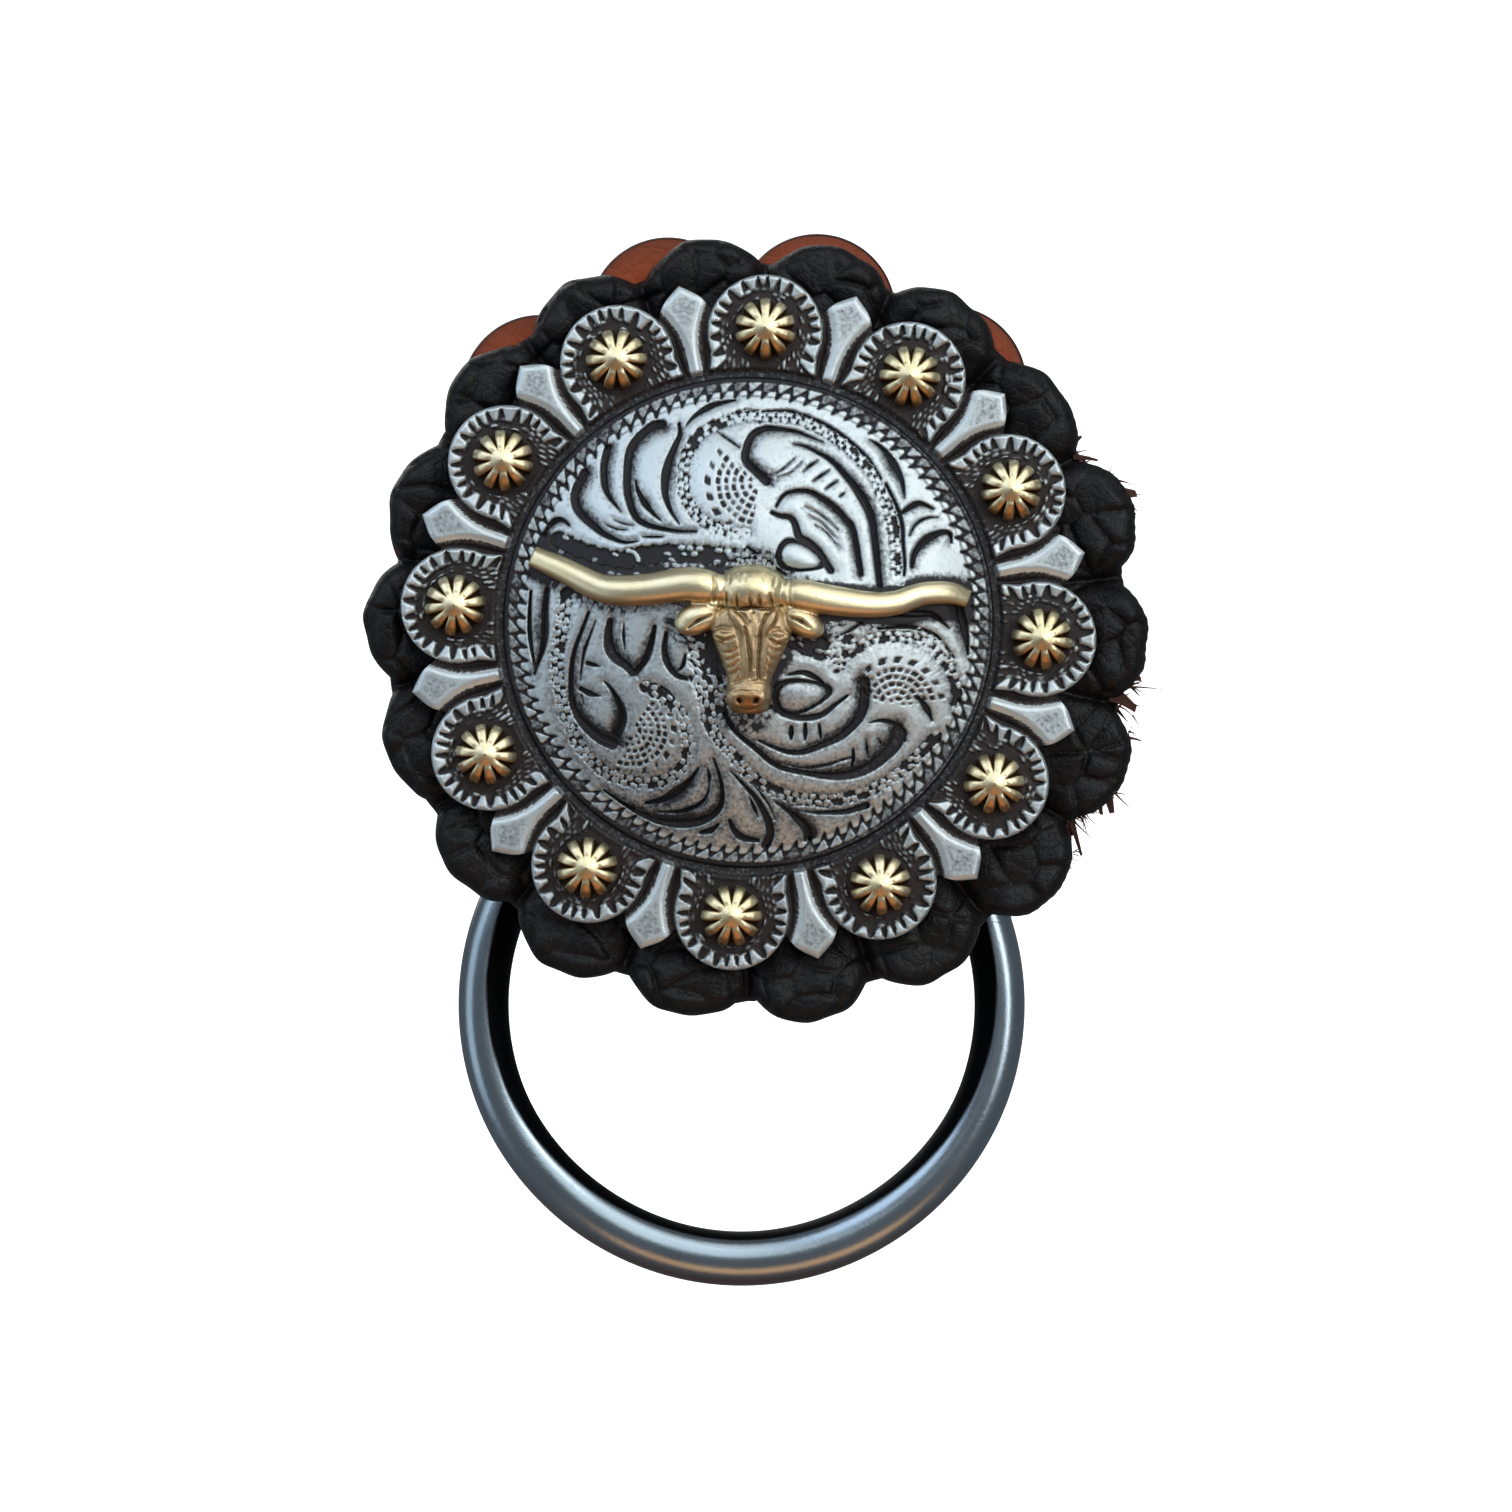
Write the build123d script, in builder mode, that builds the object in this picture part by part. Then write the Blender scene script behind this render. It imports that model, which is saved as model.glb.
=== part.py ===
"""A berry concho: a cast plate with a steer head, on two leather rosettes, with a ring hanging behind them.

Millimetres and degrees. +Z is up, the decorated face looks toward -Y, and the origin is the middle of the back of
the screw's head, where the whole stack is held.
"""

from build123d import *
from math import cos, pi, radians, sin, sqrt
import os

# Plate, seen from the front
plate_diameter = 38.1
plate_turn = 3.3
lobe_count = 12
lobe_radius = 3.15
lobe_neck_width = 5.8
lobe_rim_width = 0.38
groove_width = 0.45
tab_tip_radius = 18.8
tab_corner_radius = 17.8
tab_width = 2.75
web_radius = 16.7

# Plate, in depth
plate_thickness = 1.2
lobe_rise = 0.5
lobe_rim_rise = 0.25
tab_rise = 0.6

# Dome in the middle of the plate
border_radius = 13.3
border_rise = 0.8
border_teeth = 105
border_tooth_depth = 0.45
field_radius = 12.4
dome_rise = 2.9
dome_wall = 1.0
engraving_depth = 0.3

# Berries
berry_ring_radius = 16.05
berry_radius = 1.68
berry_height = 1.5
berry_petals = 10
berry_flute_radius = 0.24
berry_flute_taper = 5
berry_clearance = 0.35
berry_seat_depth = 0.1

# Steer head
horn_span = 24.2
head_height = 8.0
head_width = 4.5
head_relief = 1.25
head_turn = 2.3
head_shift = 0.2
ear_length = 2.3
ear_radius = 0.58
eye_radius = 0.34
nostril_radius = 0.17
head_gap = 0.05

# Leather
black_leather = 2.4
black_radius = 21.8
black_scallops = 18
black_scallop_radius = 3.75
black_turn = -8.5
black_shift_x = 0.45
black_shift_z = -0.4
black_edge_round = 0.7
tan_leather = 1.8
tan_radius = 20.4
tan_scallops = 12
tan_scallop_radius = 4.4
tan_turn = 13.7
tan_shift_x = 0.0
tan_shift_z = 1.75
tan_edge_round = 0.2
seat_gap = 0.05

# Ring and the folded strap that carries it
ring_outer_diameter = 31.9
ring_wire = 2.85
ring_drop = 21.3
ring_shift = -0.4
strap_leather = 1.1
strap_width = 6.5
strap_top = 5.0
strap_slit = 0.1
strap_rear_slope = 66
loop_clearance = 0.1

# Screw and the boss that it enters
screw_head_diameter = 6.0
screw_head_thickness = 1.4
screw_slot_width = 0.9
screw_slot_depth = 0.6
screw_shank_diameter = 3.5
screw_engagement = 2.0
screw_clearance = 0.05
boss_wall = 1.4
boss_floor = 0.4

# The stack, from the screw's head forward: each face follows from the one behind it
strap_rear_face = -(screw_head_thickness + seat_gap)
strap_front_face = strap_rear_face - 2 * strap_leather - strap_slit
tan_back = strap_front_face - seat_gap
tan_front = tan_back - tan_leather
black_back = tan_front - seat_gap
black_front = black_back - black_leather
plate_back = black_front - seat_gap
plate_face = plate_back - plate_thickness
lobe_face = plate_face - lobe_rise
berry_seat = lobe_face + berry_seat_depth
border_face = plate_face - border_rise

# The dome is part of a ball whose surface passes through the edge of the engraved field
dome_ball_radius = (field_radius**2 + dome_rise**2) / (2 * dome_rise)
dome_ball_centre = border_face - dome_rise + dome_ball_radius

lobe_ring_radius = plate_diameter / 2 - lobe_radius
lobe_pitch = 360 / lobe_count

# Engraved strokes of the field: two ends, the bow of the stroke and its greatest width, as shares of the field's
# radius. A positive bow lies to the left of the way from the first end to the second.
scroll_strokes = [
    # x_1, z_1, x_2, z_2, bow, width
    (-0.661, 0.742, -0.581, 0.444, -0.052, 0.032),
    (-0.427, 0.847, -0.560, 0.500, -0.073, 0.045),
    (-0.544, 0.460, -0.266, 0.375, -0.048, 0.030),
    (-0.532, 0.597, -0.411, 0.427, -0.023, 0.022),
    (-0.351, 0.855, -0.335, 0.411, -0.052, 0.040),
    (-0.750, 0.613, -0.565, 0.331, -0.108, 0.035),
    (-0.113, 0.968, -0.323, 0.879, -0.026, 0.022),
    (-0.815, 0.383, -0.911, 0.339, -0.040, 0.025),
    (0.036, 0.621, -0.024, 0.831, 0.070, 0.045),
    (0.000, 0.847, 0.274, 0.810, 0.028, 0.018),
    (0.161, 0.798, 0.581, 0.210, 0.104, 0.035),
    (0.097, 0.516, 0.476, 0.266, 0.144, 0.030),
    (0.089, 0.464, 0.202, 0.387, 0.029, 0.028),
    (0.222, 0.347, 0.339, 0.242, 0.023, 0.025),
    (0.492, 0.823, 0.653, 0.597, 0.036, 0.025),
    (0.645, 0.516, 0.782, 0.540, 0.032, 0.022),
    (0.863, 0.435, 0.694, 0.290, -0.049, 0.035),
    (-0.960, 0.113, -0.919, -0.274, -0.020, 0.022),
    (-0.895, 0.121, -0.895, -0.210, 0.016, 0.022),
    (-0.702, 0.000, -0.766, -0.323, -0.020, 0.020),
    (-0.758, -0.371, -0.556, -0.589, -0.055, 0.040),
    (-0.605, -0.008, -0.512, -0.266, -0.049, 0.045),
    (-0.403, -0.065, -0.476, -0.250, 0.023, 0.035),
    (-0.710, -0.278, -0.544, -0.508, 0.070, 0.030),
    (-0.452, -0.298, -0.210, -0.524, 0.057, 0.022),
    (-0.363, -0.081, -0.250, -0.282, -0.060, 0.045),
    (-0.581, -0.790, -0.073, -0.815, -0.120, 0.040),
    (-0.048, -0.774, -0.097, -0.597, -0.030, 0.035),
    (-0.427, -0.839, -0.137, -0.677, -0.070, 0.035),
    (-0.048, -0.653, 0.137, -0.935, 0.060, 0.045),
    (-0.032, -0.871, 0.089, -0.935, -0.040, 0.040),
    (0.153, -0.774, 0.315, -0.919, 0.030, 0.035),
    (0.298, -0.847, 0.573, -0.798, -0.030, 0.030),
    (-0.089, -0.395, 0.315, -0.653, -0.060, 0.035),
    (0.347, -0.653, 0.685, -0.468, -0.070, 0.050),
    (0.524, -0.435, 0.669, -0.419, 0.030, 0.025),
    (-0.004, -0.460, 0.246, -0.540, -0.046, 0.034),
    (0.282, -0.548, 0.540, -0.250, -0.110, 0.050),
    (0.125, -0.379, 0.448, -0.315, -0.056, 0.034),
    (0.169, -0.347, 0.177, -0.226, 0.060, 0.045),
    (0.210, -0.210, 0.355, -0.298, 0.060, 0.035),
    (0.597, 0.032, 0.927, -0.113, 0.100, 0.030),
    (0.935, 0.121, 0.960, -0.073, 0.030, 0.030),
]

# The seeded flowers of the field: middle and radius, as shares of the field's radius
seeded_flowers = [
    # x, z, radius
    (-0.10, 0.62, 0.17),
    (0.64, -0.15, 0.19),
    (-0.37, -0.52, 0.18),
]
flower_ring_width = 0.18

# Rows down the steer's head: height from the poll's top, half width and relief
face_rows = [
    # down, half_width, relief, as shares of the head's height, width and relief
    (0.24, 0.40, 0.50),
    (0.34, 0.50, 0.80),
    (0.46, 0.48, 0.90),
    (0.60, 0.42, 0.85),
    (0.76, 0.33, 0.80),
    (0.86, 0.30, 0.75),
]

# Rows along each horn, from the poll out: shares of the horn's half span, and of the head's height
horn_rows_left = [
    # out, rise, width
    (0.12, 0.22, 0.190),
    (0.27, 0.24, 0.180),
    (0.45, 0.20, 0.180),
    (0.68, 0.21, 0.185),
    (0.85, 0.34, 0.160),
    (0.99, 0.42, 0.120),
]
horn_rows_right = [
    # out, rise, width
    (0.12, 0.20, 0.190),
    (0.35, 0.16, 0.165),
    (0.54, 0.14, 0.145),
    (0.68, 0.17, 0.135),
    (0.81, 0.25, 0.135),
    (0.99, 0.20, 0.115),
]
poll_top = 0.375
horn_flatness = 0.85


def front_plane(y, turn=0.0, x=0.0, z=0.0):
    """A plane at depth y that looks out of the front, turned clockwise as seen from there."""
    angle = radians(turn)
    return Plane(origin=(x, y, z), x_dir=(cos(angle), 0, -sin(angle)), z_dir=(0, -1, 0))


def ball_height(radius_out, ball_radius=dome_ball_radius):
    """Depth y of the dome's surface at a distance out from its middle."""
    return dome_ball_centre - sqrt(ball_radius**2 - radius_out**2)


def lobe_sketch(grow=0.0):
    """All the lobes: a round head on a straight neck, each grown by a margin."""
    with BuildSketch() as lobes:
        with PolarLocations(lobe_ring_radius, lobe_count, start_angle=90):
            Circle(lobe_radius + grow)
        with PolarLocations(lobe_ring_radius / 2, lobe_count, start_angle=90):
            Rectangle(lobe_ring_radius, lobe_neck_width + 2 * grow)
    return lobes.sketch


def tab_sketch():
    """All the tabs: a roof-shaped outer end on a blade that narrows between two lobes."""
    inner = border_radius + groove_width
    half = tab_width / 2
    outline = [
        (inner, -half),
        (tab_corner_radius, -half),
        (tab_tip_radius, 0),
        (tab_corner_radius, half),
        (inner, half),
    ]
    with BuildSketch() as tabs:
        with PolarLocations(0, lobe_count, start_angle=90 + lobe_pitch / 2):
            Polygon(*outline, align=None)
        add(lobe_sketch(groove_width), mode=Mode.SUBTRACT)
        Circle(inner, mode=Mode.SUBTRACT)
    return tabs.sketch


def border_sketch():
    """The border round the dome: a disc with a row of teeth on its edge."""
    root = border_radius - border_tooth_depth
    half = pi * root / border_teeth
    tooth = [(root - border_tooth_depth, -half), (border_radius, 0), (root - border_tooth_depth, half)]
    with BuildSketch() as border:
        Circle(root)
        with PolarLocations(0, border_teeth):
            Polygon(*tooth, align=None)
    return border.sketch


def stroke_sketch():
    """All the engraved strokes of the field, and the recessed ring round each seeded flower."""
    with BuildSketch() as strokes:
        for x_1, z_1, x_2, z_2, bow, width in scroll_strokes:
            start = (x_1 * field_radius, z_1 * field_radius)
            end = (x_2 * field_radius, z_2 * field_radius)
            with BuildLine() as outline:
                SagittaArc(start, end, (bow + width / 2) * field_radius)
                SagittaArc(start, end, (bow - width / 2) * field_radius)
            make_face(outline.edges())
        for x, z, radius in seeded_flowers:
            with Locations((x * field_radius, z * field_radius)):
                Circle(radius * field_radius)
                Circle(radius * field_radius * (1 - flower_ring_width), mode=Mode.SUBTRACT)
    return strokes.sketch


def rosette_sketch(count, radius, scallop_radius):
    """A disc with round scallops along its edge."""
    with BuildSketch() as rosette:
        Circle(radius - scallop_radius)
        with PolarLocations(radius - scallop_radius, count, start_angle=90):
            Circle(scallop_radius)
    return rosette.sketch


def half_ellipse(base, half_length, radius):
    """Half an ellipse on a plane, above its x axis."""
    with BuildSketch(base) as half:
        Ellipse(half_length, radius)
        Rectangle(2 * half_length, 2 * radius, align=(Align.CENTER, Align.MAX), mode=Mode.SUBTRACT)
    return half.sketch


def lump(centre, half_length, radius, lean=0.0, mode=Mode.ADD):
    """Adds an egg-shaped lump whose long axis leans by an angle from the x axis."""
    along = (cos(radians(lean)), sin(radians(lean)), 0)
    base = Plane(origin=centre, x_dir=along, z_dir=(0, 0, 1))
    revolve(half_ellipse(base, half_length, radius), axis=Axis(centre, along), mode=mode)


def dome_drop(x, y):
    """How far the dome's surface has fallen below its top at a place beside the middle."""
    return dome_ball_radius - sqrt(dome_ball_radius**2 - x**2 - y**2)


def horn_sections(rows, side):
    """Oval sections across one horn, which follows the dome's surface out to its tip."""
    half_span = horn_span / 2
    places = []
    for out, rise, width in rows:
        x, y = head_shift + side * out * half_span, rise * head_height
        places.append((Vector(x, y, 0.3 * width * head_height - dome_drop(x, y)), width * head_height / 2))
    sections = []
    for index, (place, half_width) in enumerate(places):
        before = places[max(index - 1, 0)][0]
        after = places[min(index + 1, len(places) - 1)][0]
        section = Plane(origin=place, x_dir=(0, 0, 1), z_dir=after - before)
        with BuildSketch(section) as oval:
            Ellipse(half_width * horn_flatness, half_width)
        sections.append(oval.sketch)
    return sections


def loop_profile(radius, front, rear, top):
    """Side profile of the folded strap at one of its two surfaces: straight in front, round below the ring's wire."""
    slope = radians(strap_rear_slope)
    tangent = (hinge_y + radius * cos(slope), hinge_z + radius * sin(slope))
    down_to_knee = (tangent[0] - rear) / sin(slope)
    knee = (rear, tangent[1] + down_to_knee * cos(slope))
    bottom = radians(270 + strap_rear_slope / 2)
    with BuildSketch(Plane.YZ) as profile:
        with BuildLine():
            Line((front, top), (front, hinge_z))
            ThreePointArc(
                (front, hinge_z),
                (hinge_y + radius * cos(bottom), hinge_z + radius * sin(bottom)),
                tangent,
            )
            Line(tangent, knee)
            Line(knee, (rear, top))
            Line((rear, top), (front, top))
        make_face()
    return profile.sketch


# Dome: the cap that the border's face cuts from a ball
with BuildPart() as dome:
    with BuildSketch(front_plane(border_face)):
        Circle(border_radius)
    extrude(amount=dome_rise + engraving_depth)
    with Locations((0, dome_ball_centre, 0)):
        Sphere(dome_ball_radius, mode=Mode.INTERSECT)

# Plate: web, lobes with raised rims, tabs, border and dome are one casting
with BuildPart() as concho_plate:
    with BuildSketch(front_plane(plate_back, plate_turn)):
        Circle(web_radius)
        add(lobe_sketch())
        add(tab_sketch())
    extrude(amount=plate_thickness)
    with BuildSketch(front_plane(plate_face, plate_turn)):
        add(lobe_sketch())
        Circle(border_radius + groove_width, mode=Mode.SUBTRACT)
    extrude(amount=lobe_rise)
    with BuildSketch(front_plane(lobe_face, plate_turn)):
        add(lobe_sketch())
        add(lobe_sketch(-lobe_rim_width), mode=Mode.SUBTRACT)
        Circle(border_radius + groove_width, mode=Mode.SUBTRACT)
    extrude(amount=lobe_rim_rise)
    with BuildSketch(front_plane(plate_face, plate_turn)):
        add(tab_sketch())
    extrude(amount=tab_rise)
    with BuildSketch(front_plane(plate_face, plate_turn)):
        add(border_sketch())
    extrude(amount=border_rise)
    add(dome.part)
    # Round seats cleared for the berries, a little below the lobes' faces
    with BuildSketch(front_plane(berry_seat, plate_turn)):
        with PolarLocations(berry_ring_radius, lobe_count, start_angle=90):
            Circle(berry_radius + berry_clearance)
    extrude(amount=berry_seat_depth + berry_height, mode=Mode.SUBTRACT)
    # Hollow behind the dome, cast at an even wall
    hollow_ball = dome_ball_radius - dome_wall
    hollow_mouth = sqrt(hollow_ball**2 - (dome_ball_centre - plate_back) ** 2)
    with BuildSketch(Plane.XY):
        with BuildLine():
            Line((0, plate_back), (hollow_mouth, plate_back))
            ThreePointArc(
                (hollow_mouth, plate_back),
                (hollow_mouth / 2, ball_height(hollow_mouth / 2, hollow_ball)),
                (0, ball_height(0, hollow_ball)),
            )
            Line((0, ball_height(0, hollow_ball)), (0, plate_back))
        make_face()
    revolve(axis=Axis.Y, mode=Mode.SUBTRACT)
    # Boss behind the dome, drilled for the screw
    hole_radius = screw_shank_diameter / 2 + screw_clearance
    with BuildSketch(front_plane(plate_back)):
        Circle(hole_radius + boss_wall)
    extrude(amount=plate_back - ball_height(0, hollow_ball) + dome_wall / 2)
    with BuildSketch(front_plane(plate_back)):
        Circle(hole_radius)
    extrude(amount=screw_engagement + boss_floor, mode=Mode.SUBTRACT)

# Engraving: the strokes reach down to a ball inside the dome's surface
with BuildPart() as engraving:
    with BuildSketch(front_plane(plate_face, plate_turn)):
        add(stroke_sketch())
    extrude(amount=border_rise + dome_rise + engraving_depth)
    with Locations((0, dome_ball_centre, 0)):
        Sphere(dome_ball_radius - engraving_depth, mode=Mode.SUBTRACT)

with concho_plate:
    add(engraving.part, mode=Mode.SUBTRACT)

# One berry, resting on the XY plane with its point up
rim_height = 0.22 * berry_height
shoulder_radius, shoulder_height = 0.60 * berry_radius, 0.70 * berry_height
with BuildPart() as berry_form:
    with BuildSketch(Plane.XZ):
        with BuildLine():
            Line((0, 0), (berry_radius, 0))
            Line((berry_radius, 0), (berry_radius, rim_height))
            Line((berry_radius, rim_height), (shoulder_radius, shoulder_height))
            Line((shoulder_radius, shoulder_height), (0, berry_height))
            Line((0, berry_height), (0, 0))
        make_face()
    revolve(axis=Axis.Z)
    # Flutes widen as they run out and down from half way up the cone, and leave the petals between them
    flute_inner, flute_top = 0.36 * berry_radius, 0.96 * berry_height
    flute_run, flute_fall = berry_radius - flute_inner, flute_top - 0.22 * berry_height
    for flute in range(berry_petals):
        bearing = 2 * pi * flute / berry_petals
        flute_origin = (flute_inner * cos(bearing), flute_inner * sin(bearing), flute_top)
        flute_way = (flute_run * cos(bearing), flute_run * sin(bearing), -flute_fall)
        with BuildSketch(Plane(origin=flute_origin, z_dir=flute_way)):
            Circle(berry_flute_radius / 2)
    flute_length = 1.2 * sqrt(flute_run**2 + flute_fall**2)
    extrude(amount=flute_length, taper=-berry_flute_taper, mode=Mode.SUBTRACT)

berries = []
for index in range(lobe_count):
    bearing = radians(plate_turn + index * lobe_pitch)
    berry_place = front_plane(
        berry_seat - seat_gap,
        plate_turn + index * lobe_pitch,
        berry_ring_radius * sin(bearing),
        berry_ring_radius * cos(bearing),
    )
    with BuildPart() as berry:
        with Locations(Location(berry_place)):
            add(berry_form.part)
    berries.append(berry)

# Steer head in its own frame: X right, Y up, Z out of the dome's top
with BuildPart() as steer_form:
    for down, half_width, relief in face_rows:
        y = (poll_top - down) * head_height
        with BuildSketch(Plane(origin=(head_shift, y, -dome_drop(0, y)), x_dir=(1, 0, 0), z_dir=(0, -1, 0))):
            Ellipse(half_width * head_width, relief * head_relief)
    loft()
    # Poll, muzzle, ears and eyes
    lump((head_shift, 0.235 * head_height, 0.08 * head_relief), 0.41 * head_width, 0.145 * head_height)
    lump((head_shift, -0.52 * head_height, -0.24 * head_relief), 0.30 * head_width, 0.11 * head_height)
    for side in (-1, 1):
        ear_centre = (head_shift + side * 0.66 * head_width, 0.01 * head_height, 0.2 * ear_radius)
        lump(ear_centre, ear_length / 2, ear_radius, lean=-24 * side)
        brow = (head_shift + side * 0.31 * head_width, -0.10 * head_height, 0.72 * head_relief)
        with Locations(brow):
            Sphere(eye_radius)
        nostril = (head_shift + side * 0.11 * head_width, -0.555 * head_height, 0.50 * head_relief)
        with Locations(nostril):
            Sphere(nostril_radius, mode=Mode.SUBTRACT)
    # Horns
    loft(horn_sections(horn_rows_left, -1))
    loft(horn_sections(horn_rows_right, 1))
    # Hollowed to sit on the dome and over the border
    with Locations((0, 0, -dome_ball_radius)):
        Sphere(dome_ball_radius + head_gap, mode=Mode.SUBTRACT)
    with Locations((0, 0, head_gap - dome_rise)):
        Cylinder(
            plate_diameter / 2,
            dome_rise + border_rise,
            align=(Align.CENTER, Align.CENTER, Align.MAX),
            mode=Mode.SUBTRACT,
        )

with BuildPart() as steer_head:
    with Locations(Location(front_plane(border_face - dome_rise, head_turn))):
        add(steer_form.part)

# Leather rosettes, bored for the screw
with BuildPart() as black_rosette:
    with BuildSketch(front_plane(black_back, black_turn, black_shift_x, black_shift_z)):
        add(rosette_sketch(black_scallops, black_radius, black_scallop_radius))
    extrude(amount=black_leather)
    fillet(black_rosette.faces().sort_by(Axis.Y)[0].outer_wire().edges(), black_edge_round)
    with BuildSketch(front_plane(black_back)):
        Circle(hole_radius)
    extrude(amount=black_leather, mode=Mode.SUBTRACT)

with BuildPart() as tan_rosette:
    with BuildSketch(front_plane(tan_back, tan_turn, tan_shift_x, tan_shift_z)):
        add(rosette_sketch(tan_scallops, tan_radius, tan_scallop_radius))
    extrude(amount=tan_leather)
    chamfer(tan_rosette.faces().sort_by(Axis.Y)[0].outer_wire().edges(), tan_edge_round)
    with BuildSketch(front_plane(tan_back)):
        Circle(hole_radius)
    extrude(amount=tan_leather, mode=Mode.SUBTRACT)

# Ring, hanging with its upper wire in the strap's fold
ring_mean_radius = (ring_outer_diameter - ring_wire) / 2
strap_reach = strap_width / 2 + abs(ring_shift)
wire_sag = ring_mean_radius - sqrt(ring_mean_radius**2 - strap_reach**2)
loop_radius = ring_wire / 2 + wire_sag + loop_clearance
hinge_y = strap_front_face + strap_leather + loop_radius
hinge_z = ring_mean_radius - ring_drop

with BuildPart() as ring:
    with Locations(Location(front_plane(hinge_y, 0, ring_shift, -ring_drop))):
        Torus(ring_mean_radius, ring_wire / 2)

# Strap: one piece of leather folded round the ring's wire, with both ends under the screw
with BuildPart() as ring_strap:
    outside = loop_profile(loop_radius + strap_leather, strap_front_face, strap_rear_face, strap_top)
    extrude(outside, amount=strap_width / 2, both=True)
    inner_front, inner_rear = strap_front_face + strap_leather, strap_rear_face - strap_leather
    inside = loop_profile(loop_radius, inner_front, inner_rear, strap_top + strap_leather)
    extrude(inside, amount=strap_width, both=True, mode=Mode.SUBTRACT)
    with BuildSketch(front_plane(strap_rear_face)):
        Circle(hole_radius)
    extrude(amount=strap_rear_face - strap_front_face, mode=Mode.SUBTRACT)

# Screw: a slotted head behind the strap, and a shank that ends inside the boss
with BuildPart() as back_screw:
    with BuildSketch(front_plane(0)):
        Circle(screw_head_diameter / 2)
    extrude(amount=screw_head_thickness)
    with BuildSketch(front_plane(0)):
        Circle(screw_shank_diameter / 2)
    extrude(amount=screw_engagement - plate_back)
    with BuildSketch(front_plane(0)):
        Rectangle(screw_head_diameter, screw_slot_width)
    extrude(amount=screw_slot_depth, mode=Mode.SUBTRACT)

pieces = {
    "concho_plate": concho_plate,
    "steer_head": steer_head,
    "black_rosette": black_rosette,
    "tan_rosette": tan_rosette,
    "ring_strap": ring_strap,
    "back_screw": back_screw,
    "ring": ring,
}
for index, berry in enumerate(berries, start=1):
    pieces[f"berry_{index:02d}"] = berry

os.makedirs("parts", exist_ok=True)
for name, piece in pieces.items():
    piece.part.label = name
    export_step(piece.part, f"parts/{name}.step")
print("ring turns about the X axis through y", round(hinge_y, 3), "z", round(hinge_z, 3))
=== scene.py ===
# %% [markdown]
# # A western concho with a steer's head, dressed for the camera
# The object is a cast metal plate on two leather rosettes, with a steel ring hanging from a folded strap
# behind. The solid model gives each piece its place and depth. This lesson gives each piece the surface
# of the real one.

# %% Open the solid model and keep its box
import math
import bmesh
import bpy
import numpy as np
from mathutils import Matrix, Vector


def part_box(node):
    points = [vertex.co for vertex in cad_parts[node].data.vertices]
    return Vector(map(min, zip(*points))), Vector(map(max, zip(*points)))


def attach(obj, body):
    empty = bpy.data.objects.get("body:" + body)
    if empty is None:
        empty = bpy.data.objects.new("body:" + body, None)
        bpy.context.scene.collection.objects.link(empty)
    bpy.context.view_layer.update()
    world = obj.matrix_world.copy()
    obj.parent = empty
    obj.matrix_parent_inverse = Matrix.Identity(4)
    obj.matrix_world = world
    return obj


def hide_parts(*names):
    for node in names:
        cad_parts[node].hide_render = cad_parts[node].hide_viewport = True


MM = 0.001
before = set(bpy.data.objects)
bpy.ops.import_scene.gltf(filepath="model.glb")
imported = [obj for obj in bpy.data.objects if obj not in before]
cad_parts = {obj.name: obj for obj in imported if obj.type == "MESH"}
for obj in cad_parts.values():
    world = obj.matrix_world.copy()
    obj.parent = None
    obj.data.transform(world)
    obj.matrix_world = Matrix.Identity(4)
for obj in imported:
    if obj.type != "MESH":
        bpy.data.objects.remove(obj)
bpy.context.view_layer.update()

# %% [markdown]
# ## Sizes
# The object is drawn in millimetres, as a jeweller would, and turned to metres when a mesh is made. The
# depths come from the solid pieces, so the dressed surfaces stand where the solids do. The dome is part
# of a large ball, whose radius follows from how high and how wide the dome is.


# %% Depths and radii of the plate, in millimetres
def corners_in_mm(name):
    """Lowest and highest corner of a solid piece."""
    return [np.array(corner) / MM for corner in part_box(name)]


plate_low, plate_high = corners_in_mm("concho_plate")
plate_thickness = 1.2
plate_back = plate_high[1]
plate_face = plate_back - plate_thickness
dome_top = plate_face - plate_low[1]
plate_turn = math.radians(3.3)  # the plate sits a little askew
field_radius, border_end = 12.4, 13.45  # the engraved field, and the end of its border
border_level = 0.8  # height of the field's rim above the face
field_rise = dome_top - border_level
ball_radius = (field_radius**2 + field_rise**2) / (2 * field_rise)
print("the dome rises", round(dome_top, 2), "mm, on a ball of radius", round(ball_radius, 1), "mm")

# %% [markdown]
# ## Two helpers for numbers
# A soft step turns a distance into a mask with a clean edge, and a repeatable scatter gives each bead or
# chip its own size without a random seed.


# %% Soft step and scatter
def step(low, high, value):
    """0 at low and 1 at high, with a soft start and end. Low may be the larger one."""
    share = np.clip((value - low) / (high - low), 0, 1)
    return share * share * (3 - 2 * share)


def scatter(*keys):
    """A number from 0 to 1 that depends on the keys alone."""
    total = sum(key * weight for key, weight in zip(keys, (12.9898, 78.233, 37.719)))
    return np.modf(np.abs(np.sin(total) * 43758.5453))[0]


# %% [markdown]
# ## From arrays to a piece
# Fine relief is easiest as a dense sheet whose points are moved by numpy. Each sheet is a grid of rows.
# Numbers can travel with its points, such as `patina_and_shade`, so that one metal is bright on top and
# black in the cuts and where shade is painted. An open sheet is flipped where it looks backwards, and a
# closed one gets all its faces turned outwards.


# %% Build a mesh piece from arrays
def grid_faces(rows, columns, closed=False, looped=False):
    """Four-sided faces over a grid of points. Closed joins the last column to the first, looped the rows."""
    index = np.arange(rows * columns).reshape(rows, columns)
    if closed:
        index = np.hstack([index, index[:, :1]])
    if looped:
        index = np.vstack([index, index[:1]])
    return np.stack([index[:-1, :-1], index[1:, :-1], index[1:, 1:], index[:-1, 1:]], axis=-1).reshape(-1, 4)


def read_rows(items, key):
    """Three numbers for each item of a mesh, as rows."""
    values = np.zeros(len(items) * 3)
    items.foreach_get(key, values)
    return values.reshape(-1, 3)


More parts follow.
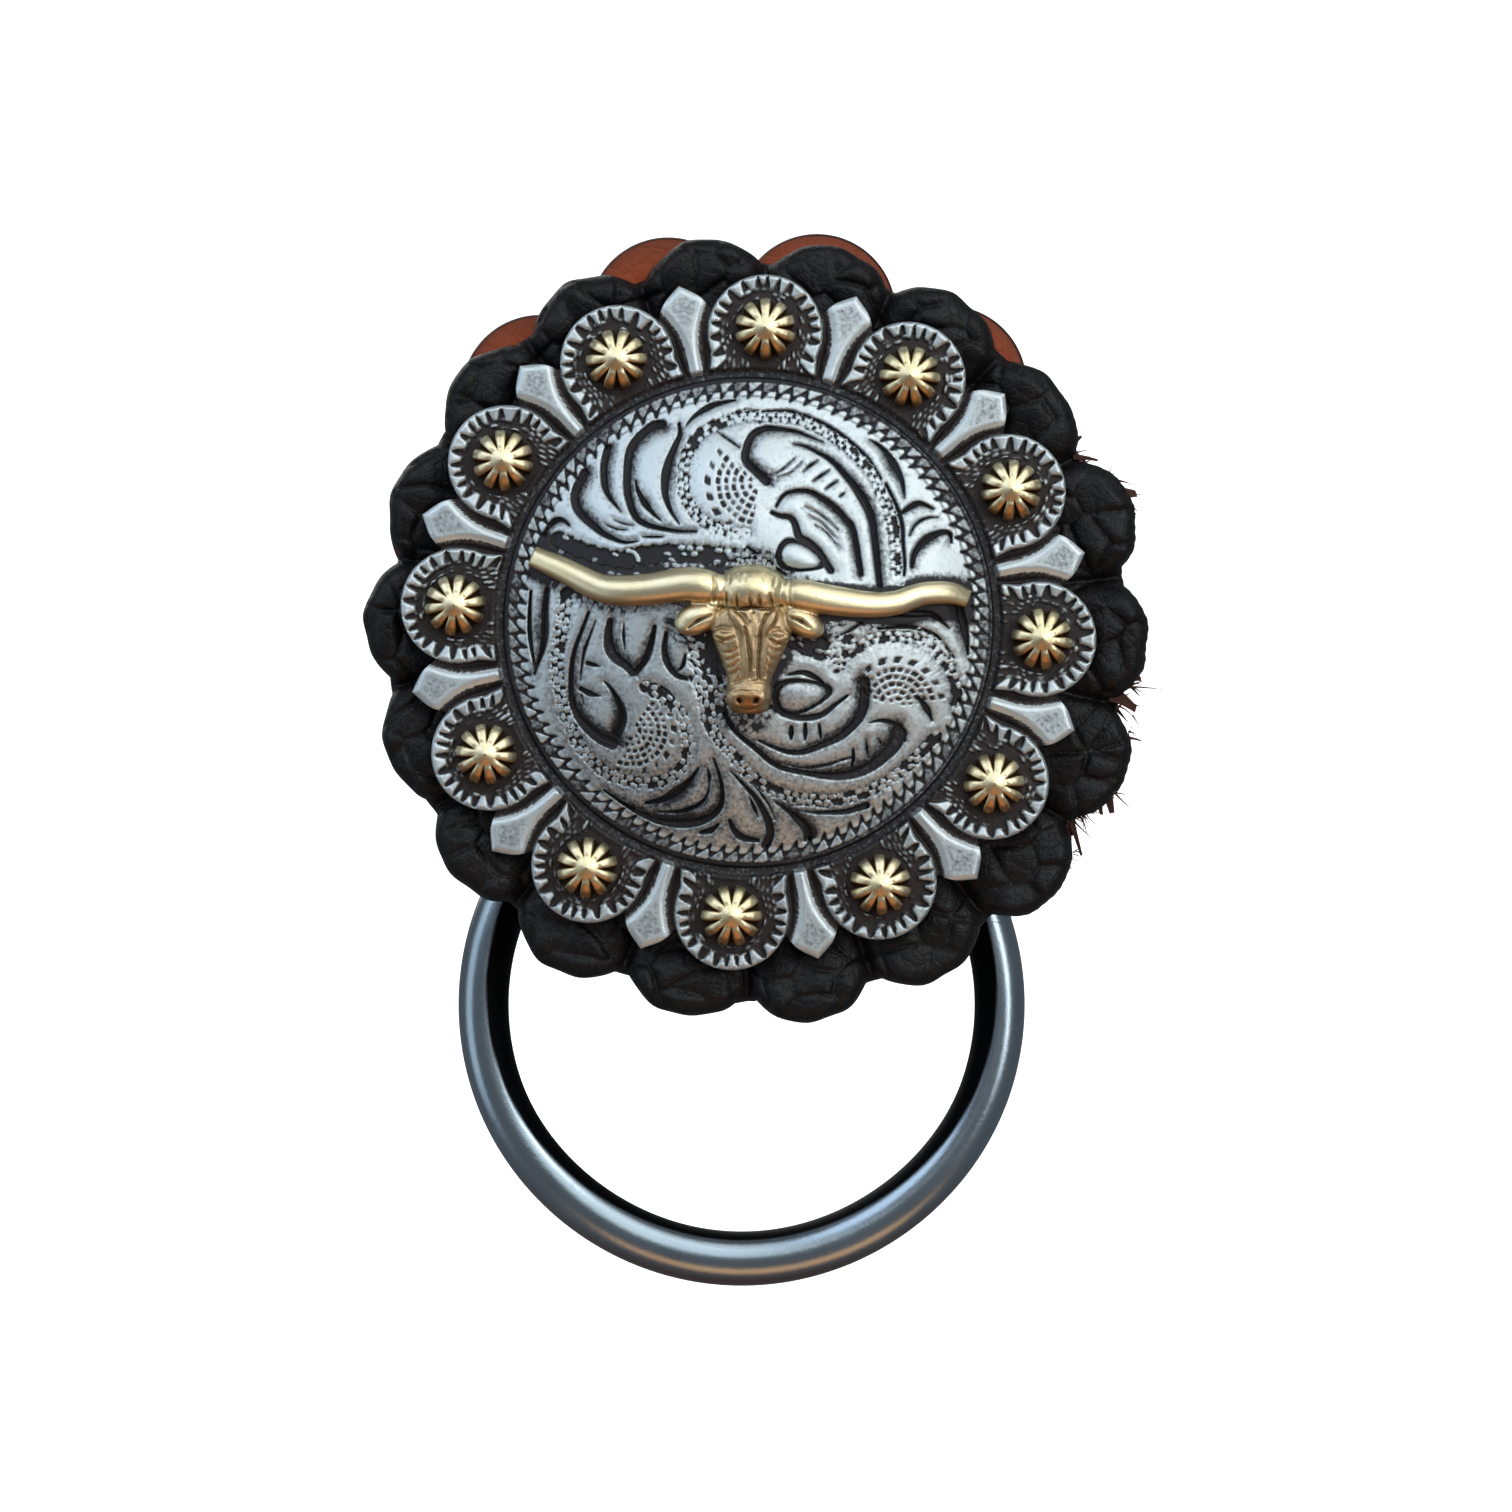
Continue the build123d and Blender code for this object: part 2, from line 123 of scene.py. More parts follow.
def face_outwards(mesh):
    """Turns the faces of a closed mesh outwards."""
    shape = bmesh.new()
    shape.from_mesh(mesh)
    bmesh.ops.recalc_face_normals(shape, faces=shape.faces)
    shape.to_mesh(mesh)
    shape.free()


def make_piece(name, points, faces, material, body="concho", numbers=None, solid=False):
    """A named piece from points in millimetres. Open sheets face the front, closed ones face outwards."""
    mesh = bpy.data.meshes.new(name)
    mesh.from_pydata((np.asarray(points, float) * MM).tolist(), [], np.asarray(faces).tolist())
    for key, values in (numbers or {}).items():
        layer = mesh.attributes.new(key, "FLOAT", "POINT")
        layer.data.foreach_set("value", np.asarray(values, np.float32).ravel())
    if solid:
        face_outwards(mesh)
    elif read_rows(mesh.polygons, "normal")[:, 1].sum() > 0:
        mesh.flip_normals()
    mesh.polygons.foreach_set("use_smooth", [True] * len(mesh.polygons))
    mesh.materials.append(material)
    piece = bpy.data.objects.new(name, mesh)
    bpy.context.scene.collection.objects.link(piece)
    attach(piece, body)
    print(name, len(mesh.polygons), "faces")
    return piece


# %% [markdown]
# ## Camera
# The photo looks straight at the plate. From 300 mm away, the ring behind looks almost as large as it
# would in front. The lens follows from that distance and from how many millimetres the photo's frame
# takes in, and the camera stands a little below the plate's middle, because the ring fills the lower part
# of the photo.

# %% Camera at the photo's angle
photo_width, photo_scale = 1512, 18.27  # pixels, and pixels per millimetre
frame_width = photo_width / photo_scale
frame_middle_x, frame_middle_z = 0.41, -7.31
camera_distance = 300.0
sensor = 36.0
camera_data = bpy.data.cameras.new("photo_camera")
camera_data.sensor_width = sensor
camera_data.lens = sensor * camera_distance / frame_width
camera_data.clip_start = 0.01
camera = bpy.data.objects.new("photo_camera", camera_data)
camera.location = (frame_middle_x * MM, (plate_face - camera_distance) * MM, frame_middle_z * MM)
camera.rotation_euler = (math.radians(90), 0, 0)
bpy.context.scene.collection.objects.link(camera)
bpy.context.scene.camera = camera
print("the frame takes in", round(frame_width, 1), "mm with a lens of", round(camera_data.lens, 1), "mm")

# %% [markdown]
# ## Colours and nodes
# A colour is written as it would be picked on a screen, in sRGB hex. Blender counts light in linear
# numbers, so one function turns the first into the second. Another adds a node with its settings and
# links in one line.


# %% One function for colour, one for nodes
def linear(sheet_colour):
    """A linear colour from sRGB hex."""
    parts = [int(sheet_colour[i : i + 2], 16) / 255 for i in (0, 2, 4)]
    return tuple(c / 12.92 if c <= 0.04045 else ((c + 0.055) / 1.055) ** 2.4 for c in parts) + (1.0,)


def add(tree, kind, inputs=(), **settings):
    """Adds a node, sets it up, and links or fills its inputs, which are named or numbered."""
    made = tree.nodes.new(kind)
    for key, value in settings.items():
        setattr(made, key, value)
    for key, value in dict(inputs).items():
        if isinstance(value, bpy.types.NodeSocket):
            tree.links.new(value, made.inputs[key])
        else:
            made.inputs[key].default_value = value
    return made


def new_tree(name):
    """A new material and its empty node tree."""
    material = bpy.data.materials.new(name)
    material.use_nodes = True
    material.node_tree.nodes.clear()
    print("material", name)
    return material, material.node_tree


# %% [markdown]
# ## The pale sweep
# A photographer's sweep is a sheet of matt white paper that bends from the floor up into a wall. This one
# goes all round, so that every view from above the floor has a pale ground. It is for the camera alone:
# seen in the metal, it would bleach the dark edges of the ring. The photo's ground has no shadow, so the
# sweep takes none: its own glow keeps it even.


# %% Paper sweep
def pale_paper():
    """Matt white paper with a faint unevenness."""
    material, tree = new_tree("pale_paper")
    grain = add(tree, "ShaderNodeTexNoise", {"Scale": 40.0, "Detail": 3.0})
    tint = add(
        tree, "ShaderNodeMix",
        {0: grain.outputs[0], 6: linear("F6F6F5"), 7: linear("FAFAF9")}, data_type="RGBA",
    )
    finish = {"Roughness": 0.9, "Emission Color": linear("FFFFFF"), "Emission Strength": 0.95}
    surface = add(tree, "ShaderNodeBsdfPrincipled", {"Base Color": tint.outputs[2], **finish})
    add(tree, "ShaderNodeOutputMaterial", {0: surface.outputs[0]})
    return material


def make_sweep(floor_level, room_radius, bend, wall_top):
    """A round floor that bends up into a wall all round the object."""
    turns = np.radians(np.linspace(0, 90, 17))
    bend_out = room_radius - bend + bend * np.sin(turns)
    bend_up = floor_level + bend - bend * np.cos(turns)
    profile = np.array([(0.01, floor_level), *zip(bend_out, bend_up), (room_radius, wall_top)])
    around = np.radians(np.arange(0, 360, 5))
    out, level = profile[:, :1], np.repeat(profile[:, 1:], len(around), axis=1)
    points = np.stack([out * np.cos(around), out * np.sin(around), level], axis=-1)
    return points.reshape(-1, 3), grid_faces(len(profile), len(around), closed=True)


sweep_points, sweep_faces = make_sweep(floor_level=-92, room_radius=520, bend=160, wall_top=1000)
sweep_mesh = bpy.data.meshes.new("pale_sweep")
sweep_mesh.from_pydata((sweep_points * MM).tolist(), [], sweep_faces.tolist())
sweep_mesh.polygons.foreach_set("use_smooth", [True] * len(sweep_mesh.polygons))
sweep_mesh.materials.append(pale_paper())
sweep = bpy.data.objects.new("pale_sweep", sweep_mesh)
bpy.context.scene.collection.objects.link(sweep)
sweep.visible_glossy = False
sweep.visible_diffuse = False
sweep.visible_shadow = False
print("sweep", len(sweep_mesh.polygons), "faces")

# %% [markdown]
# ## World and lamps
# Polished metal shows what is around it, so the room matters more than the lamps. The world is a dim grey
# room. A broad card stands behind the camera and gives flat metal its tone, and a weaker one hangs above.
# A cool window stands top left, with a card at the left that carries it on, and a narrow window at the
# right puts a bright line on round forms. A warm table top lies below. One more card lights the back. No
# lamp shows itself to the camera.

# %% World
world = bpy.data.worlds.new("studio")
world.use_nodes = True
world.node_tree.nodes["Background"].inputs["Color"].default_value = linear("B9C0C8")
world.node_tree.nodes["Background"].inputs["Strength"].default_value = 0.29
bpy.context.scene.world = world
bpy.context.scene.view_settings.view_transform = "Standard"
print("world", world.name)

# %% Lamps
lamp_aim = (0, -10, -8)


def add_lamp(name, place, size, power, colour):
    """A soft rectangular lamp at a place in millimetres that looks at the object."""
    data = bpy.data.lights.new(name, "AREA")
    data.shape = "RECTANGLE"
    data.size, data.size_y = size[0] * MM, size[1] * MM
    data.energy = power
    data.color = linear(colour)[:3]
    lamp = bpy.data.objects.new(name, data)
    way = np.array(place, float) - np.array(lamp_aim, float)
    yaw = math.atan2(way[0], -way[1])
    pitch = math.atan2(math.hypot(way[0], way[1]), way[2])
    lamp.location = [value * MM for value in place]
    lamp.rotation_euler = (pitch, 0, yaw)
    lamp.visible_camera = False
    bpy.context.scene.collection.objects.link(lamp)


lamps = [
    # name, place, width and height, power in watts, colour
    ("front_card", (230, -680, 345), (720, 540), 1.85, "F0F6F7"),
    ("ceiling", (190, -260, 480), (620, 300), 0.7, "F4F8FA"),
    ("window_top_left", (-290, -330, 300), (400, 360), 0.8, "DCEBFF"),
    ("card_left", (-420, -170, -20), (240, 380), 0.3, "D6E6F4"),
    ("window_right", (270, -320, 60), (110, 340), 0.42, "FFFFFF"),
    ("warm_table", (40, -220, -330), (420, 160), 0.29, "E2A468"),
    ("back_card", (-160, 380, 220), (420, 300), 0.6, "F6F4F0"),
]
for name, place, size, power, colour in lamps:
    add_lamp(name, place, size, power, colour)
print(len(lamps), "lamps")

# %% [markdown]
# ## Antique silver
# The plate is a zinc casting with a silver plate, darkened with a sulphur patina and rubbed back by hand.
# So the high places are pale and smooth, and every cut stays black and matt. The casting leaves fine
# pits, and the polishing cloth leaves hairlines.


# %% Antique silver
def antique_metal(name, bright, warm, tarnish_and_shade, dark, deep, smooth, grain):
    """Metal rubbed bright at `patina_and_shade` 0, black and matt at 1, and browner in both where
    `tarnish_and_shade` is 1. Both hold real patina and tarnish as well as painted shade.
    """
    material, tree = new_tree(name)
    place = add(tree, "ShaderNodeTexCoord").outputs["Object"]
    # Pits of about a fifth of a millimetre, and blotches of three
    pits = add(
        tree, "ShaderNodeTexNoise",
        {"Vector": place, "Scale": 1 / (0.22 * MM), "Detail": 3.0, "Roughness": 0.6},
    )
    blotch = add(tree, "ShaderNodeTexNoise", {"Vector": place, "Scale": 1 / (3.0 * MM), "Detail": 2.0})
    patina_and_shade = add(tree, "ShaderNodeAttribute", attribute_name="patina_and_shade").outputs["Fac"]
    uneven = add(
        tree, "ShaderNodeMath", {0: pits.outputs[0], 1: grain, 2: -grain / 2}, operation="MULTIPLY_ADD"
    )
    patina_shade_and_pits = add(tree, "ShaderNodeMath", {0: patina_and_shade, 1: uneven.outputs[0]}, operation="ADD")
    mask = add(
        tree, "ShaderNodeMapRange", {0: patina_shade_and_pits.outputs[0], 1: 0.06, 2: 0.82}, interpolation_type="SMOOTHSTEP"
    )
    tone = add(
        tree, "ShaderNodeMix", {0: blotch.outputs[0], 6: linear(bright), 7: linear(warm)}, data_type="RGBA"
    )
    # Brown where there is real tarnish in recesses, and where brown shade or a warm reflection is painted
    low = add(tree, "ShaderNodeAttribute", attribute_name="tarnish_and_shade").outputs["Fac"]
    colour = add(tree, "ShaderNodeMix", {0: low, 6: tone.outputs[2], 7: linear(tarnish_and_shade)}, data_type="RGBA")
    patina_and_shade_colour = add(tree, "ShaderNodeMix", {0: low, 6: linear(dark), 7: linear(deep)}, data_type="RGBA")
    shade = add(
        tree, "ShaderNodeMix",
        {0: mask.outputs[0], 6: colour.outputs[2], 7: patina_and_shade_colour.outputs[2]}, data_type="RGBA",
    )
    rough = add(tree, "ShaderNodeMapRange", {0: mask.outputs[0], 3: smooth, 4: 0.62})
    # Hairlines of polishing, a little over half a millimetre apart and broken up
    scratches = add(
        tree, "ShaderNodeTexNoise",
        {"Vector": place, "Scale": 1 / (0.6 * MM), "Detail": 6.0, "Roughness": 0.75},
    )
    height = add(tree, "ShaderNodeMath", {0: pits.outputs[0], 1: scratches.outputs[0]}, operation="ADD")
    relief = 0.15 + 0.4 * grain
    bump = add(
        tree, "ShaderNodeBump", {"Height": height.outputs[0], "Strength": relief, "Distance": 0.035 * MM}
    )
    finish = {"Metallic": 1.0, "Roughness": rough.outputs[0], "Normal": bump.outputs[0]}
    surface = add(tree, "ShaderNodeBsdfPrincipled", {"Base Color": shade.outputs[2], **finish})
    add(tree, "ShaderNodeOutputMaterial", {0: surface.outputs[0]})
    return material


# Its dark colours serve the patina of the cuts and also painted shade: on the lower left of the dome, along
# the steer's head and on the lower lobes
silver = antique_metal(
    "antique_silver", bright="DEE8EA", warm="C8D0D1", tarnish_and_shade="8A8078", dark="403F41", deep="473F3C",
    smooth=0.5, grain=1.0,
)

# %% [markdown]
# ## The engraving
# Each cut is a stroke of a chisel: a centre line, and a width at its start, middle and end. The strokes
# are listed in millimetres from the plate's middle, leaf by leaf. A stroke may lean, which means
# that the metal on its left (1) or right (-1) slopes into it, as the side of a leaf does.

# %% Strokes of the upper left leaves
strokes = [
    # points across and up, width at the start, middle and end, lean
    ([(-5.3, 10.5), (-5.8, 10.4), (-6.5, 9.75), (-6.95, 9), (-7.05, 8), (-6.95, 6.6), (-6.5, 5.4),
      (-5.9, 4.95), (-5, 4.75), (-4, 4.65), (-3.1, 4.7)], (0.45, 0.38, 0.1), 1),
    ([(-8.2, 9.1), (-8.35, 7.9), (-8.1, 6.6), (-7.25, 5.55)], (0.38, 0.36, 0.05), 1),
    ([(-9.4, 7.6), (-9.8, 6.6), (-9.8, 6), (-9.5, 5.4), (-8.5, 4.55), (-7.9, 4.2), (-7, 3.9), (-6.25, 4)],
      (0.5, 0.4, 0.06), 1),
    ([(-6, 4.25), (-4.9, 4.3)], (0.06, 0.1, 0.06), 0),
    ([(-6.55, 7.25), (-6.4, 6.75), (-6, 6.1), (-5.5, 5.55), (-5, 5.15)], (0.08, 0.32, 0.04), 1),
    ([(-4.4, 10.55), (-4.3, 10), (-4.5, 9.4), (-4.8, 8.5), (-4.95, 7.55), (-4.9, 6.6), (-4.55, 5.75),
      (-4.05, 5.05)], (0.15, 0.46, 0.05), 1),
    ([(-11.4, 4.1), (-11.2, 4.55), (-10.8, 4.95), (-10.4, 4.95), (-10.05, 4.7)], (0.15, 0.32, 0.1), -1),
    ([(-1.4, 12.05), (-2, 11.9), (-2.6, 11.7), (-3.25, 11.3), (-3.7, 10.9), (-4, 10.5)], (0.08, 0.32, 0.06),
      0),
    ([(-8, 4.8), (-7.4, 4.6), (-6.9, 4.6)], (0.04, 0.08, 0.04), 0),
    ([(-7.6, 5.1), (-7, 4.9), (-6.5, 4.85)], (0.04, 0.07, 0.04), 0),
]

# %% Strokes of the upper right scroll
strokes += [
    ([(-0.9, 11.55), (0, 11.5), (1.35, 11.62), (2, 11.52), (3, 11.2), (4, 10.75), (5, 10.1), (6, 9.25),
      (6.75, 8.2)], (0.08, 0.2, 0.12), 0),
    ([(7.05, 7.9), (7.45, 7.2), (7.8, 6.5), (8.05, 5.7), (8.15, 4.75), (8.3, 3.7), (8.3, 3)],
      (0.14, 0.2, 0.12), 0),
    ([(3.5, 10), (2.6, 10.3), (2, 10.5), (0.75, 10.6), (0.15, 10.5), (-0.4, 10.1), (-0.7, 9.1), (-0.55, 8.6),
      (-0.1, 8.2), (0.55, 7.65)], (0.06, 0.32, 0.45), 1),
    ([(1.9, 9.8), (2.5, 9.7), (3.25, 9.4), (4, 9), (4.75, 8.3), (5.55, 7.4), (6.3, 6.1), (6.6, 4.75),
      (6.9, 2.95), (7, 2.4)], (0.08, 0.42, 0.3), 1),
    ([(1.15, 6.3), (1.4, 6.8), (1.75, 7.1), (2.4, 7.25), (3, 7.2), (3.6, 6.9), (4.25, 6.5), (5, 5.8),
      (5.4, 5.25), (5.8, 3.6), (5.95, 2.9)], (0.12, 0.34, 0.28), -1),
    ([(0.95, 5.95), (1.4, 5.8), (1.9, 5.75), (2.2, 5.45), (2.5, 4.7), (3, 4.45), (3.55, 4), (4.3, 3)],
      (0.2, 0.4, 0.36), 0),
    ([(6.05, 10.3), (6.6, 10), (7.1, 9.5), (7.8, 8.4), (8, 7.8), (8.1, 7.25)], (0.06, 0.4, 0.08), -1),
    ([(7.75, 6.2), (8.05, 6.45), (8.75, 6.95), (9.2, 6.95), (9.7, 6.75)], (0.1, 0.3, 0.1), -1),
    ([(8.5, 5.2), (8.7, 5.7), (9.05, 6.05), (9.5, 6.25), (10, 6.3)], (0.08, 0.14, 0.05), 0),
    ([(8.7, 3.5), (8.75, 4.05), (8.95, 4.5), (9.3, 4.95), (9.8, 5.3), (10.3, 5.5), (10.7, 5.45), (10.8, 5)],
      (0.2, 0.4, 0.12), -1),
    ([(3.25, 8.95), (2.85, 8.65), (2.5, 8.3)], (0.05, 0.14, 0.04), 0),
    ([(3.9, 8.45), (3.5, 8.15), (3.05, 7.8)], (0.05, 0.14, 0.04), 0),
    ([(4.4, 7.9), (4.1, 7.7), (3.75, 7.4)], (0.05, 0.13, 0.04), 0),
    ([(4.8, 7.25), (4.55, 7.05)], (0.05, 0.1, 0.04), 0),
    ([(0.6, 7.95), (1.3, 8.3), (2.0, 9)], (0.04, 0.08, 0.03), 0),
    ([(1.1, 7.9), (1.8, 8.2), (2.4, 8.8)], (0.03, 0.06, 0.03), 0),
    ([(2.7, 6.4), (3.6, 6), (4.6, 5.2)], (0.03, 0.08, 0.03), 0),
    ([(2.9, 5.9), (3.7, 5.5), (4.5, 4.7)], (0.03, 0.06, 0.03), 0),
    ([(3.3, 5.4), (4, 5), (4.7, 4.2)], (0.03, 0.06, 0.03), 0),
    ([(-0.3, 4), (0.4, 3.55), (1.1, 3.1), (1.9, 2.6)], (0.1, 0.22, 0.1), 0),
    ([(-2.25, 10.2), (-1.6, 9.8), (-1, 9.4)], (0.05, 0.1, 0.05), 0),
]

# %% Strokes of the left leaves
strokes += [
    ([(-11.95, 1), (-11.95, 0), (-11.9, -1), (-11.75, -2), (-11.45, -3.3)], (0.12, 0.26, 0.08), 0),
    ([(-11.05, 1.1), (-11.1, 0), (-11.05, -1), (-11.1, -2), (-11.3, -2.75), (-11.5, -3.5)], (0.3, 0.42, 0.1),
      -1),
    ([(-8.7, 0), (-9, -0.95), (-9.3, -1.9), (-9.45, -2.8), (-9.45, -4), (-9.35, -4.9), (-8.95, -5.7),
      (-8.4, -6.3), (-7.7, -6.8), (-7, -7.05)], (0.15, 0.27, 0.6), 1),
    ([(-8.3, -0.45), (-8.55, -1.25), (-8.8, -2.05), (-8.9, -2.9), (-8.95, -3.75)], (0.06, 0.16, 0.06), 0),
    ([(-7.5, -0.4), (-7.55, -1.25), (-7.4, -1.95), (-7, -2.45), (-6.5, -2.75), (-6.1, -3.15)],
      (0.3, 0.55, 0.35), 1),
    ([(-5.05, -0.6), (-5.2, -1.55), (-5.45, -2.4), (-5.9, -3.05)], (0.2, 0.36, 0.3), -1),
    ([(-6.75, -0.5), (-6.7, -1.25), (-6.6, -1.9)], (0.05, 0.16, 0.04), 0),
    ([(-4.4, -0.9), (-4.45, -1.8), (-4.2, -2.6), (-3.7, -3.15), (-3.1, -3.3)], (0.2, 0.34, 0.2), 1),
    ([(-3.3, -2), (-3.4, -2.6), (-3.7, -2.95)], (0.1, 0.22, 0.06), 0),
    ([(-8.6, -2.75), (-7.9, -2.9)], (0.22, 0.2, 0.03), 0),
    ([(-8.9, -4.15), (-8.4, -4.38), (-7.75, -4.5)], (0.24, 0.3, 0.03), 0),
    ([(-8.85, -4.5), (-8.65, -5.1)], (0.1, 0.08, 0.04), 0),
    ([(-7.6, -3.7), (-7.2, -4.1), (-6.65, -5), (-6.5, -5.7), (-6.75, -6.5)], (0.08, 0.36, 0.48), -1),
    ([(-5.45, -3.7), (-4.75, -3.75), (-4, -4.2), (-3.4, -4.9)], (0.08, 0.2, 0.08), 0),
]

# %% Strokes of the fan of leaves at the bottom
strokes += [
    ([(-7.35, -9.6), (-6.7, -10), (-6, -10.4), (-5.3, -10.75), (-4.3, -11.1), (-3.2, -11.2), (-2.1, -11.05),
      (-1.3, -10.6), (-0.9, -10), (-0.9, -9.2), (-1.1, -8.4), (-1.45, -7.55)], (0.1, 0.44, 0.08), 1),
    ([(-1.75, -8.1), (-1.62, -8.6), (-1.65, -9)], (0.04, 0.22, 0.04), 0),
    ([(-2.25, -8.1), (-2.7, -8.8), (-3.3, -9.35), (-4.1, -9.9), (-5, -10.15)], (0.08, 0.44, 0.16), 1),
    ([(-1.6, -8.9), (-1.7, -9.5), (-2.1, -10.05), (-3.1, -10.5), (-4.4, -10.6)], (0.05, 0.24, 0.08), 1),
    ([(0.45, -8.5), (1.05, -9.1), (1.7, -9.9), (2.1, -10.7)], (0.04, 0.1, 0.04), 0),
    ([(2.9, -9.85), (3.9, -9.75), (5, -9.85)], (0.04, 0.12, 0.05), 0),
    ([(-0.5, -8.15), (0.2, -8.8), (0.9, -9.5), (1.4, -10.2), (1.75, -10.9), (1.85, -11.5), (1.65, -12.1)],
      (0.06, 0.3, 0.48), 0),
    ([(0.6, -9.5), (0.9, -10.1), (1.15, -10.6)], (0.04, 0.18, 0.04), 0),
    ([(-0.4, -10.85), (-0.1, -11.4), (0.4, -11.75), (1.2, -11.85)], (0.16, 0.38, 0.22), 0),
    ([(-1, -11.1), (-1.4, -11.45), (-1.95, -11.6)], (0.12, 0.34, 0.18), 0),
    ([(1.95, -9.65), (2.7, -10.1), (3.3, -10.6), (3.8, -11.1), (3.95, -11.75)], (0.06, 0.32, 0.48), 1),
    ([(3.4, -10.1), (4.2, -10.15), (5, -10.1), (5.9, -10), (6.6, -9.75), (7, -9.6)], (0.06, 0.22, 0.38), 0),
]

# %% Strokes of the lower right scroll
strokes += [
    ([(-1.1, -4.7), (-0.85, -5.3), (-0.4, -5.95), (0.2, -6.45), (0.9, -6.95), (1.6, -7.5), (2.4, -7.85),
      (3.4, -8), (4.4, -8.1), (5.4, -8.1), (6.4, -7.85), (7.2, -7.4), (7.9, -6.75), (8.35, -6.2),
      (8.6, -5.6)], (0.2, 0.26, 0.75), 1),
    ([(8.35, -5.45), (8.65, -5.6), (8.85, -5.95)], (0.5, 0.6, 0.2), 0),
    ([(2.3, -7.6), (3.5, -7.75), (4.75, -7.5), (5.5, -7.2), (6.05, -7.05)], (0.05, 0.16, 0.1), 0),
    ([(0.9, -6.4), (1.8, -6.75), (2.6, -6.95), (3.4, -6.9), (4.2, -6.55), (4.8, -6.25), (5.4, -5.9),
      (6, -5.3), (6.4, -4.7), (6.55, -4), (6.5, -2.9)], (0.1, 0.36, 0.55), 1),
    ([(1.5, -4.55), (2.4, -4.95), (3.2, -5.05), (4.2, -4.85), (5, -4.2), (5.6, -3.7)], (0.2, 0.34, 0.12), 0),
    ([(6.9, -5.1), (7.4, -4.95), (8, -5), (8.6, -5.25)], (0.05, 0.22, 0.26), 0),
    ([(2.65, -5.6), (2.68, -6.25)], (0.18, 0.3, 0.1), 0),
    ([(3.4, -5.4), (3.45, -6.25)], (0.14, 0.24, 0.08), 0),
    ([(4.15, -5.35), (4.3, -6.15)], (0.1, 0.16, 0.06), 0),
    ([(6.08, -6.6), (6.12, -7.1), (6.05, -7.6)], (0.1, 0.2, 0.06), 0),
    ([(6.75, -6), (6.82, -6.5), (6.95, -7)], (0.06, 0.14, 0.05), 0),
    ([(7.4, -5.9), (7.7, -6.4)], (0.05, 0.09, 0.04), 0),
    ([(2.2, -2.8), (3.1, -2.6), (3.9, -2.9), (4.5, -3.45)], (0.08, 0.3, 0.12), 0),
    ([(6.9, 0.9), (9, 0.95), (9.6, 1), (10.1, 0.9), (10.95, 0.3)], (0.2, 0.3, 0.08), 0),
    ([(7.1, 0), (8, 0.15), (9, 0.2), (10.1, -0.1), (10.6, -0.5), (11.3, -1.3)], (0.1, 0.22, 0.08), 0),
    ([(9.4, -0.25), (10, -0.75), (10.5, -1.25), (10.9, -1.8), (11.05, -2.4)], (0.06, 0.12, 0.06), 0),
    ([(11.4, 1.6), (11.55, 1), (11.75, 0.4), (11.95, -0.4), (12.05, -1.05)], (0.3, 0.42, 0.1), -1),
    ([(9.45, -3.55), (9.8, -3.95), (10.1, -4.35), (10.3, -4.8)], (0.12, 0.36, 0.08), 0),
    ([(4.25, -0.95), (5.2, -0.4), (6.1, 0.25)], (0.06, 0.16, 0.06), 0),
]
print(len(strokes), "strokes")

# %% [markdown]
# ## Beaded grounds, flowers and buds
# Behind the leaves the ground is punched down and left black, with rough rows of beads. The flowers are
# fans of short radial cuts in rings. The buds are small raised ovals with a dark line round them. Along
# the steer's horns and face the metal is darker: partly grime where a polishing cloth can't reach, and
# partly painted shade that the head casts on the dome.

